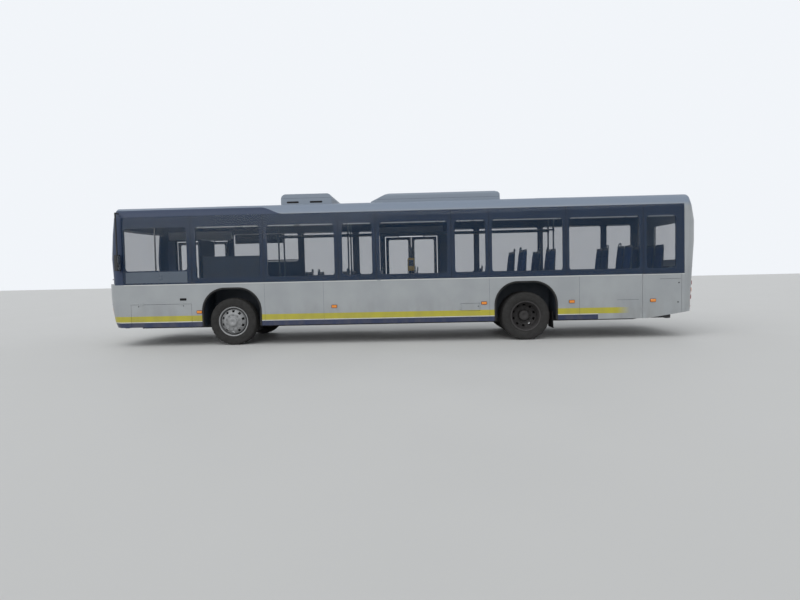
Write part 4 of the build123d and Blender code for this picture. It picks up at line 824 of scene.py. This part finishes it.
# Padded seats on moulded shells
PITCH_PLACES = (-1.0, -0.955, -0.86, -0.7, -0.46, -0.2, 0.0, 0.2, 0.46, 0.7, 0.86, 0.955, 1.0)
BACK_PLACES = (-1.0, -0.965, -0.88, -0.72, -0.45, -0.18, 0.1, 0.24, 0.3, 0.36, 0.5, 0.72, 0.88, 0.965, 1.0)
SHELL_PATH = (
    (-0.425, -0.004), (-0.4, 0.002), (-0.3, 0.0), (-0.15, -0.002), (-0.05, 0.0), (-0.005, 0.012), (0.018, 0.05),
    (0.026, 0.15), (0.034, 0.3), (0.042, 0.45), (0.049, 0.56), (0.05, 0.6), (0.044, 0.616),
)
LIP_PLACES = (-1, -0.94, -0.7, 0, 0.7, 0.94, 1)


def pad(build, origin, axes, size, crown, channels, rows, piping):
    """A crowned closed cushion whose sides pull in, with sewn channels across it and piping round its edge."""
    origin = Vector(origin)
    across, along, up = (Vector(v) for v in axes)
    width, length, thick = size

    def spot(u, v, face):
        a = u * width / 2 * (1 - 0.03 * (1 - v * v)) * (1 - 0.075 * v ** 6)
        b = v * length / 2 * (1 - 0.03 * (1 - u * u)) * (1 - 0.075 * u ** 6)
        full = (max(0.0, 1 - u ** 4) * max(0.0, 1 - v ** 4)) ** 0.42
        if face > 0:
            height = thick / 2 * full + crown * (1 - u * u) * (1 - v * v)
            for place in channels:
                height -= 0.011 * full * math.exp(-((v - place) / 0.035) ** 2)
            height -= 0.006 * full * math.exp(-((abs(u) - 0.7) / 0.05) ** 2)
        else:
            height = -thick / 2 * min(1.0, full * 1.3)
        return origin + across * a + along * b + up * height

    last_u, last_v = len(PITCH_PLACES) - 1, len(rows) - 1
    points = []
    index = {}
    for face in (1, -1):
        for i, u in enumerate(PITCH_PLACES):
            for j, v in enumerate(rows):
                if face < 0 and (i in (0, last_u) or j in (0, last_v)):
                    index[face, i, j] = index[1, i, j]
                    continue
                index[face, i, j] = len(points)
                points.append(spot(u, v, face))
    faces = [tuple(index[face, a, b] for a, b in ((i, j), (i + 1, j), (i + 1, j + 1), (i, j + 1)))
             for face in (1, -1) for i in range(last_u) for j in range(last_v)]
    build.add(points, faces)
    border = [(i, 0) for i in range(0, last_u, 2)] + [(last_u, j) for j in range(0, last_v, 2)]
    border += [(i, last_v) for i in range(last_u, 0, -2)] + [(0, j) for j in range(last_v, 0, -2)]
    piping.tube([spot(PITCH_PLACES[i], rows[j], 1) for i, j in border], 0.0035, 5, closed=True)


def shell(build, x, y, z, width):
    """A moulded seat shell: a bent sheet with lips at its sides."""
    rings = []
    for i, (along, height) in enumerate(SHELL_PATH):
        normal = path_normal(SHELL_PATH, i)
        narrow = 1.0 if along < -0.05 or height < 0.45 else 1.0 - 0.1 * ((height - 0.45) / 0.17) ** 2
        ring = []
        for thick, places in ((0.0, LIP_PLACES), (-0.007, LIP_PLACES[::-1])):
            for place in places:
                lip = 0.018 * max(0.0, (abs(place) - 0.7) / 0.3) ** 2 + thick
                across = y + place * width / 2 * narrow
                ring.append((x + along + normal[0] * lip, across, z + height + normal[1] * lip))
        rings.append(ring)
    build.skin(rings)


LEAN = Vector((0.062, 0, 0.57)).normalized()
SEAT_AXES = ((0, 1, 0), (1, 0, 0.02), (-0.02, 0, 1))
BACK_AXES = ((0, -1, 0), LEAN, (-LEAN.z, 0, LEAN.x))
HEAD_AXES = ((0, -1, 0), (0, 0, 1), (-1, 0, 0))
SEAT_Y = 0.72
LOW_FLOOR, BOX_TOP, REAR_FLOOR = 0.425, 0.785, 0.82
# Where the low floor's pairs stand, as shares of the wheelbase behind the front axle
LEFT_PAIRS = (0.2468, 0.3745, 0.5021, 0.6298, 0.7574, 0.8766)
RIGHT_PAIRS = (0.2468, 0.3745, 0.4732, 0.8766)
GRIP_PATH = ((0.044, 0.165, 0.59), (0.046, 0.165, 0.64), (0.05, 0.145, 0.668), (0.05, 0.06, 0.672),
             (0.05, 0.04, 0.66), (0.046, 0.034, 0.6))

shells, cushions, backs, piping, legs, handles = builds(6)
pairs = [(2.7 + 5.875 * share, side, LOW_FLOOR) for side, shares in ((-1, LEFT_PAIRS), (1, RIGHT_PAIRS))
         for share in shares]
pairs += [(place, side, base) for side in (-1, 1)
          for place, base in ((8.58, BOX_TOP), (9.15, BOX_TOP), (10.65, REAR_FLOOR))]
singles = []
for place, side, base in pairs:
    x, y, cushion_z = at(place), side * SEAT_Y, base + 0.402
    singles += [(place, y + offset, cushion_z, (side > 0) == (offset < 0)) for offset in (-0.22, 0.22)]
    if base != BOX_TOP:
        for back in (0.3, 0.15):
            legs.tube([(x - back, y, base + 0.012), (x - back, y, cushion_z - 0.03)], 0.019, 12)
        legs.block("z", (x - 0.222, y), (0.23, 0.118), 0.02, ((base + 0.001, 0), (base + 0.012, 0)), 3)
        for back in (0.33, 0.12):
            low = (x - back - 0.014, y - 0.4, cushion_z - 0.036)
            legs.box(low, (x - back + 0.014, y + 0.4, cushion_z - 0.012))
singles += [(11.29, offset, 1.22, False) for offset in (-0.872, -0.436, 0.0, 0.436, 0.872)]
for place, y, z, by_aisle in singles:
    x = at(place)
    shell(shells, x, y, z, 0.424)
    pad(cushions, (x - 0.225, y, z + 0.031), SEAT_AXES, (0.398, 0.38, 0.046), 0.012, (-0.55,), PITCH_PLACES, piping)
    pad(backs, (x + 0.004, y, z + 0.33), BACK_AXES, (0.388, 0.5, 0.036), 0.008, (0.3,), BACK_PLACES, piping)
    if by_aisle:
        inward = -1 if y > 0 else 1
        handles.tube([(x + dx, y + inward * dy, z + dz) for dx, dy, dz in GRIP_PATH], 0.012, 10)
BENCH = at(11.29)
legs.box((BENCH - 0.33, -1.09, 0.822), (BENCH - 0.11, 1.09, 1.18))
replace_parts(shells.make("seat_shells", SEAT_SHELL), "passenger_seats")
cushions.make("seat_cushions", FABRIC)
backs.make("seat_backs", FABRIC)
piping.make("seat_piping", TRIM_DARK, slot="seat_fabric")
legs.make("seat_legs", TRIM_DARK, bevel=0.002, slot="interior_trim")
handles.make("seat_handles", RAIL)

# Front end: wipers, seams, lamps, plate and the blank sign box behind the glass
WIPER_REACH = 0.33
WIPER_PIVOT_Z = 1.262
BLADE_SECTION = ((0.0015, 0.0), (0.014, -0.008), (0.02, -0.004), (0.02, 0.004), (0.014, 0.008))
wipers, blades = builds(2)
for pivot_y, tip_y, bow in ((-0.3, -1.01, 0.03), (0.62, -0.15, 0.034)):
    rows = ((0.01, 0.03), (-0.006, 0.028), (-0.012, 0.016), (-0.013, 0.004))
    foot = front_x(pivot_y, WIPER_PIVOT_Z)
    wipers.round("x", (pivot_y, WIPER_PIVOT_Z), [(foot + out, radius) for out, radius in rows], 20)
    arm_end = tip_y + WIPER_REACH * (1 if tip_y < pivot_y else -1)
    arm = []
    for k in range(9):
        share = k / 8
        y = pivot_y + (arm_end - pivot_y) * share
        z = WIPER_PIVOT_Z + 0.11 * math.sin(share * math.pi / 2)
        arm.append((front_x(y, z, 0.01 + bow * math.sin(share * math.pi) + 0.02 * share), y, z))
    wipers.tube(arm, 0.0075, 10)
    end_x, end_y, end_z = arm[-1]
    rows = []
    for k in range(15):
        share = -1 + 2 * k / 14
        y = end_y + share * WIPER_REACH
        z = end_z + 0.006 * share * share
        rows.append([(front_x(y, z, lift), y, z + drop) for lift, drop in BLADE_SECTION])
    blades.skin(rows)
    wipers.box((end_x - 0.004, end_y - 0.03, end_z - 0.012), (end_x + 0.012, end_y + 0.03, end_z + 0.012))
wipers.make("wiper_arms", BLACK_PLASTIC, bevel=0.001)
blades.make("wiper_blades", RUBBER)

front_seams = Build()
for reach, z in ((1.1, 0.868), (0.74, 0.598)):
    front_seams.strip(front_x, -reach, reach, z - 0.0025, z + 0.0025, LINE, 30)
for y_low, y_high in both_sides(0.742, 0.747):
    corners = ((y_low, -SINK), (y_low, LINE), (y_high, LINE), (y_high, -SINK))
    levels = (0.42, 0.515, 0.598, 0.7, 0.868)
    front_seams.skin([[(front_x(y, z, lift), y, z) for y, lift in corners] for z in levels])
front_seams.make("front_panel_seams", TRIM_DARK)
bars = [(-0.46, 0.46, z, z + 0.01, 0.004, 14) for z in (0.432, 0.456, 0.48, 0.504)]
strips("front_intake_bars", BLACK_PLASTIC, front_x, *bars)
# The intake opening is a near-black strip: painted shade
strips("front_intake", SHADE_IN_OPENINGS, front_x, (-0.475, 0.475, 0.425, 0.52, LINE, 14))
add_plate("front", front_x, 0.628, 6, "body")
bowls, bulbs, indicators, fog_rings, fog_lenses = builds(5)
for sign in (-1, 1):
    for y, radius in ((0.83, 0.062), (0.985, 0.058)):
        bowls.bowl(front_x, sign * y, 0.735, radius, 0.03, -0.008)
        bulbs.lens(front_x, sign * y, 0.735, 0.016, 0.014, 0.004, 16, -0.032)
    fog_rings.lens(front_x, sign * 0.83, 0.482, 0.052, 0.006, 0.012)
    fog_lenses.lens(front_x, sign * 0.83, 0.482, 0.04, 0.01, 0.004, base=0.003)
for span in both_sides(1.052, 1.088):
    indicators.strip(front_x, *span, 0.665, 0.805, -0.008, 6, 0.03)
bowls.make("headlamp_bowls", LAMP_WHITE)
bulbs.make("headlamp_bulbs", LAMP_WHITE)
indicators.make("front_indicators", LAMP_AMBER)
fog_rings.make("fog_lamp_rings", BLACK_PLASTIC)
fog_lenses.make("fog_lamp_lenses", LAMP_WHITE)

rings = []
for k in range(13):
    y = -0.9 + 1.8 * k / 12
    rings.append([(front_x(y, z, -0.045), y, z) for z in (2.395, 2.605)] + [(at(0.42), y, z) for z in (2.605, 2.395)])
Build().skin(rings).make("front_sign_box", BLACK_PLASTIC, slot="interior_trim")
SIGN_FACE = plain("sign_face", (16, 17, 19), 0.25, coat=0.3)
strips("front_sign_face", SIGN_FACE, front_x, (-0.86, 0.86, 2.42, 2.58, -0.041, 12, 0.046), slot="black_plastic")
side_sign = Build().block("y", (at(2.64), 2.27), (1.15, 0.21), 0.015, ((SIDE - 0.15, 0), (SIDE - 0.062, 0)))
side_sign.make("side_sign_box", BLACK_PLASTIC, bevel=0.004, slot="interior_trim")

# Rear end: lenses, reflectors, plate, lid louvres and the frame painted round the rear window
rear_lenses, rear_amber, rear_rings = builds(3)
for sign in (-1, 1):
    for z, target in ((0.79, rear_lenses), (0.93, rear_amber), (1.07, rear_lenses)):
        rear_rings.lens(rear_x, sign * 1.055, z, 0.06, 0.004, 0.015)
        target.lens(rear_x, sign * 1.055, z, 0.05, 0.011, 0.004, base=0.003)
rear_lenses.make("rear_lamp_lenses", LAMP_RED)
rear_amber.make("rear_indicators", LAMP_AMBER)
rear_rings.make("rear_lamp_rings", BLACK_PLASTIC)
strips("rear_reflectors", LAMP_RED, rear_x, *((*span, 0.586, 0.622, 0.006, 4) for span in both_sides(0.93, 1.07)))
strips("upper_brake_lamp", LAMP_RED, rear_x, (-0.3, 0.3, 2.448, 2.474, 0.007, 8))
top_spans = both_sides(0.96, 1.04)
strips("rear_top_markers", LAMP_RED, rear_x, *((*span, 2.62, 2.65, 0.006, 3) for span in top_spans))
strips("front_top_markers", LAMP_WHITE, front_x, *((*span, 2.7, 2.724, 0.006, 3) for span in top_spans))
PAINTED = 0.0012
surround = [(*span, 1.38, 2.42, PAINTED, 6) for span in ((-1.13, -0.904), (0.904, 1.13))]
surround += [(-0.904, 0.904, low, high, PAINTED, 20) for low, high in ((1.38, 1.466), (2.384, 2.42))]
strips("rear_window_surround", BLACK_GLOSS, rear_x, *surround, slot="mask_black")
# A near-black field behind the louvres: painted shade of the vent openings
strips("lid_vent_field", SHADE_IN_OPENINGS, rear_x, (-0.62, 0.62, 0.76, 1.075, PAINTED, 12), body="engine_lid")
louvres, lid_fittings = builds(2)
for k in range(12):
    low = 0.772 + 0.0255 * k
    section = ((0.001, 0.014), (0.008, 0.004), (0.009, 0.0), (0.001, 0.009))
    places = [-0.605 + 1.21 * i / 16 for i in range(17)]
    louvres.skin([[(rear_x(y, low, lift), y, low + rise) for lift, rise in section] for y in places])
louvres.make("lid_louvres", PAINT_PLAIN, "engine_lid")
for sign in (-1, 1):
    rows = ((-0.002, 0.018), (0.004, 0.018), (0.005, 0.014), (0.003, 0.01), (0.003, 0.003))
    lid_fittings.round("x", (sign * 0.64, 0.68), [(rear_x(0.64, 0.68) + out, radius) for out, radius in rows], 20)
pull = ((-0.1, -0.002), (-0.095, 0.02), (0, 0.024), (0.095, 0.02), (0.1, -0.002))
lid_fittings.tube([(rear_x(y, 0.655, lift), y, 0.655) for y, lift in pull], 0.008, 12)
lid_fittings.make("lid_handle_and_locks", BLACK_PLASTIC, "engine_lid")
add_plate("rear", rear_x, 1.128, 4, "engine_lid")
strips("plate_lamp", BLACK_PLASTIC, rear_x, (-0.09, 0.09, 1.262, 1.286, 0.018, 4), body="engine_lid", bevel=0.003)
strips("rear_bumper_seam", TRIM_DARK, rear_x, (-1.18, 1.18, 0.553, 0.558, LINE, 24))

# Roof: slots, seams and fans of the two units, and two low hatches
FRONT_UNIT_TOP, LONG_UNIT_TOP = 3.06, 3.02
unit_slots, unit_seams, fans, fan_wells, hatches, hatch_rims = builds(6)
# The slots in the units' sides are near-black blocks: painted shade
for low, high in both_sides(0.7585, 0.7615):
    for middle, length in ((3.895, 0.25), (4.38, 0.26)):
        unit_slots.block("y", (at(middle), 2.892), (length, 0.038), 0.017, ((low, 0), (high, 0)))
for near, first, last, z in ((0.759, 3.67, 4.68, 2.973), (0.799, 5.64, 8.14, 2.898)):
    for low, high in both_sides(near, near + 0.0016):
        unit_seams.box((at(first), low, z), (at(last), high, z + 0.0035))
for place in (6.4, 7.25):
    low = (at(place) - 0.002, -0.745, LONG_UNIT_TOP - 0.001)
    unit_seams.box(low, (at(place) + 0.002, 0.745, LONG_UNIT_TOP + LINE))
FANS = [(3.96, y, FRONT_UNIT_TOP) for y in (-0.34, 0.34)] + [(s, 0.0, LONG_UNIT_TOP) for s in (6.12, 6.82, 7.62)]
# Under each fan guard a near-black disc: painted shade of the fan's well
for place, y, top in FANS:
    x = at(place)
    fan_wells.round("z", (x, y), ((top - 0.003, 0.205), (top + 0.0006, 0.205), (top + 0.0009, 0.03)), 32)
    for radius in (0.21, 0.165, 0.12, 0.075, 0.035):
        fans.tube([(x + radius * c, y + radius * s, top + 0.0055) for c, s in circle(32)], 0.0035, 6, closed=True)
    for c, s in circle(8)[:4]:
        fans.tube([(x + reach * c, y + reach * s, top + 0.004) for reach in (-0.212, 0.212)], 0.004, 6)
unit_slots.make("roof_unit_slots", SHADE_IN_OPENINGS)
unit_seams.make("roof_unit_seams", TRIM_DARK, slot="roof_unit")
fan_wells.make("roof_fan_wells", SHADE_IN_OPENINGS)
fans.make("roof_fan_guards", CHASSIS)
RIM_LEVELS = ((2.8795, 0), (2.885, 0.004, 0.066), (2.888, 0.012, 0.058))
LID_LEVELS = ((2.886, 0), (2.896, 0.004, 0.066), (2.903, 0.02, 0.05), (2.907, 0.07, 0.012), (2.909, 0.18, 0.012))
for place in (2.45, 9.3):
    hatch_rims.block("z", (at(place), 0), (0.82, 0.66), 0.07, RIM_LEVELS)
    hatches.block("z", (at(place), 0), (0.76, 0.6), 0.07, LID_LEVELS)
hatch_rims.make("roof_hatch_rims", RUBBER)
hatches.make("roof_hatches", ROOF_UNIT)

# Mirrors: glass faces behind, a smaller wide-angle glass below
MIRROR_Y, MIRROR_GLASS = 1.34, 0.108
MIRROR_BACK, MIRROR_FRONT = at(0.4895), at(0.4915)
mirror_glass, mirror_edges = builds(2)
for sign in (-1, 1):
    for low_z, high_z in ((1.64, 1.85), (1.568, 1.626)):
        middle, size = (sign * MIRROR_Y, (low_z + high_z) / 2), (MIRROR_GLASS, high_z - low_z)
        mirror_edges.block("x", middle, size, 0.016, ((MIRROR_BACK, -0.006), (MIRROR_FRONT, -0.006)))
        levels = ((MIRROR_FRONT, 0), (MIRROR_FRONT + 0.0012, 0.001), (MIRROR_FRONT + 0.0016, 0.02))
        mirror_glass.block("x", middle, size, 0.012, levels)
mirror_edges.make("mirror_edges", BLACK_PLASTIC)
mirror_glass.make("mirror_glasses", MIRROR_FACE)

# Driver's place: instruments, seat with bellows, and the panel under the side window
BINNACLE = ((0.455, 1.29), (0.44, 1.345), (0.47, 1.378), (0.56, 1.384), (0.612, 1.362), (0.604, 1.35), (0.58, 1.34),
            (0.61, 1.24))
binnacle = Build().prism([(at(s), z) for s, z in BINNACLE], -0.93, -0.51)
binnacle.make("instrument_binnacle", BLACK_PLASTIC, bevel=0.006)
dials, switches, driver = builds(3)
for y, radius in ((-0.8, 0.046), (-0.69, 0.046), (-0.895, 0.026), (-0.595, 0.03)):
    dials.lens(lambda a, b, lift: at(0.594) + lift, y, 1.29, radius, 0.004, 0.01, 24)
dials.make("instrument_dials", BLACK_GLOSS)
for row in range(2):
    for k in range(6):
        x, y, z = at(0.5 + 0.055 * row), -0.42 + 0.034 * k, 1.276 - 0.35 * 0.055 * row
        switches.box((x, y, z - 0.012), (x + 0.03, y + 0.022, z + 0.006))
switches.make("dash_switches", TRIM, bevel=0.003)
x, y, z = at(1.7), -0.72, 0.995
shell(driver, x, y, z, 0.474)
for k in range(9):
    waist = [(0.606 + 0.04 * (k + end), -0.006 if (k + end) % 2 else 0) for end in (0, 1)]
    driver.block("z", (x - 0.22, y), (0.2, 0.226), 0.04, waist, 4, k in (0, 8))
driver.block("z", (x - 0.22, y), (0.218, 0.248), 0.02, ((0.5765, 0), (0.606, 0)), 4)
driver.block("z", (x - 0.215, y), (0.23, 0.3), 0.02, ((0.964, 0), (0.989, 0)), 4)
for side in (-0.06, 0.06):
    driver.tube([(x + 0.046, y + side, z + 0.56), (x + 0.05, y + side, z + 0.7)], 0.007, 10)
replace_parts(driver.make("driver_seat_shell", SEAT_SHELL), "driver_seat")
driver_pads, driver_piping = builds(2)
for origin, axes, size, crown, channels, rows in (
        ((-0.22, 0.04), SEAT_AXES, (0.452, 0.4, 0.062), 0.012, (-0.55,), PITCH_PLACES),
        ((-0.004, 0.33), BACK_AXES, (0.44, 0.52, 0.05), 0.012, (0.3,), BACK_PLACES),
        ((0.044, 0.705), HEAD_AXES, (0.24, 0.17, 0.046), 0.01, (), PITCH_PLACES)):
    pad(driver_pads, (x + origin[0], y, z + origin[1]), axes, size, crown, channels, rows, driver_piping)
driver_pads.make("driver_seat_pads", FABRIC)
driver_piping.make("driver_seat_piping", TRIM_DARK, slot="seat_fabric")
CAB_PANEL = plain("cab_panel", (66, 78, 92), 0.3, vary=0.1, coat=0.3)
cab_panel = Build().side_slab(at(0.56), at(1.82), (1.29, 1.4, 1.515), -1, -0.0006, 0.002)
cab_panel.make("cab_side_panel", CAB_PANEL, slot="mask_black")
cab_bar = Build().side_slab(at(1.168), at(1.196), (1.53, 2.405), -1, -LINE, 0.012)
cab_bar.make("cab_window_bar", BLACK_GLOSS, bevel=0.002, slot="mask_black")

# Saloon: ticket reader on its pole, ceiling lights, stop buttons on the rails
RAIL_Y = 0.25
READER_X = at(6.31)
pole = Build().tube([(READER_X, -RAIL_Y, 0.429), (READER_X, -RAIL_Y, 1.93)], 0.016, 14)
for z in (0.429, 1.88):
    pole.round("z", (READER_X, -RAIL_Y), ((z, 0.022), (z + 0.03, 0.022), (z + 0.042, 0.017)), 18)
pole.make("reader_pole", RAIL)
READER_CASE = plain("reader_case", (182, 150, 40), 0.4, vary=0.06)
levels = ((1.42, 0.01), (1.43, 0), (1.65, 0), (1.69, 0.005), (1.7, 0.015))
reader = Build().block("z", (READER_X, -0.33), (0.15, 0.11), 0.025, levels, 4)
reader.make("ticket_reader", READER_CASE, slot="rail_paint")
reader_face = Build().block("y", (READER_X, 1.59), (0.11, 0.13), 0.012, ((-0.3862, 0), (-0.3835, 0)))
reader_face.make("ticket_reader_face", BLACK_GLOSS)
LIGHT_Y = 0.64
LIGHT_SECTION = ((-0.055, 2.829), (-0.055, 2.815), (-0.04, 2.8), (0.0, 2.794), (0.04, 2.8), (0.055, 2.815),
                 (0.055, 2.829))
lights, light_ends, buttons, button_caps, rail_joints = builds(5)
for middle in (-LIGHT_Y, LIGHT_Y):
    for first in (2.25, 4.26, 6.27, 8.28):
        last = first + 1.95
        ends = (first + 0.02, last - 0.02)
        lights.skin([[(at(s), middle + along, z) for along, z in LIGHT_SECTION] for s in ends])
        for s in (first, last - 0.022):
            light_ends.box((at(s), middle - 0.06, 2.79), (at(s + 0.022), middle + 0.06, 2.829))
LIGHT_COVER = plain("light_cover", (232, 234, 232), 0.35, vary=0.03)
lights.make("ceiling_lights", LIGHT_COVER, slot="interior_trim")
light_ends.make("ceiling_light_ends", TRIM, bevel=0.003)
for place in (3.45, 4.96, 7.15, 9.35):
    for y in (-RAIL_Y, RAIL_Y):
        x = at(place)
        buttons.block("z", (x, y), (0.046, 0.046), 0.01, ((1.39, 0), (1.47, 0)), 3)
        button_caps.round("x", (y, 1.43), ((x - 0.0205, 0.016), (x - 0.0265, 0.016), (x - 0.0285, 0.01)), 18)
        for low, top in ((0.4285, 0.4585), (2.205, 2.255)):
            rail_joints.round("z", (x, y), ((low, 0.0245), (top, 0.0245), (top + 0.008, 0.0175)), 16)
buttons.make("stop_button_boxes", RAIL, bevel=0.003)
button_caps.make("stop_buttons", LAMP_RED)
rail_joints.make("rail_joints", TRIM_DARK, slot="rail_paint")

# Camera at the photograph's place, with a focal length of 577 pixels in a picture 800 pixels wide
YAW, PITCH, ROLL = math.radians(-2.02), math.radians(-2.901), math.radians(-1.282)
forward = Vector((math.sin(YAW) * math.cos(PITCH), math.cos(YAW) * math.cos(PITCH), math.sin(PITCH)))
level_right = Vector((math.cos(YAW), -math.sin(YAW), 0))
level_up = level_right.cross(forward)
right = level_right * math.cos(ROLL) + level_up * math.sin(ROLL)
up = level_up * math.cos(ROLL) - level_right * math.sin(ROLL)
camera = add_object("camera", bpy.data.cameras.new("camera"))
camera.data.sensor_width = 36
camera.data.lens = 36 * 577 / 800
camera.data.clip_end = 300
turn = Matrix((right, up, -forward)).transposed().to_4x4()
camera.matrix_world = Matrix.Translation((0.5, -12.702, 1.43)) @ turn
bpy.context.scene.camera = camera

# Floor, world and lamps
FLOOR_REACH = 60
corners = [(FLOOR_REACH * x, FLOOR_REACH * y, 0) for x, y in ((-1, -1), (1, -1), (1, 1), (-1, 1))]
floor_mesh = bpy.data.meshes.new("studio_floor")
floor_mesh.from_pydata(corners, [], [(0, 1, 2, 3)])
studio_floor = add_object("studio_floor", floor_mesh)
floor_mesh.materials.append(plain("studio_floor", (206, 206, 204), 0.7, vary=0.03, scale=0.6))
studio_floor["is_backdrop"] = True

# The world shines more strongly on what the camera sees directly, through glass or in a gloss
world = bpy.data.worlds.new("studio")
bpy.context.scene.world = world
world.use_nodes = True
sky = world.node_tree
rays = add_node(sky, "LightPath").outputs
seen = rays["Is Camera Ray"]
for kind in ("Is Transmission Ray", "Is Glossy Ray"):
    seen = add_node(sky, "Math", {0: seen, 1: rays[kind]}, operation="MAXIMUM").outputs[0]
strength = add_node(sky, "MapRange", {0: seen, "To Min": 0.55, "To Max": 0.95}).outputs[0]
fill(sky.nodes["Background"], {"Strength": strength, "Color": (0.93, 0.96, 1.0, 1)})
sun = add_object("sun", bpy.data.lights.new("sun", "SUN"))
sun.data.energy = 1.5
sun.data.angle = math.radians(75)
sun.rotation_euler = (math.radians(48), 0, math.radians(-18))

bpy.context.scene.view_settings.view_transform = "Standard"
low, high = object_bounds()
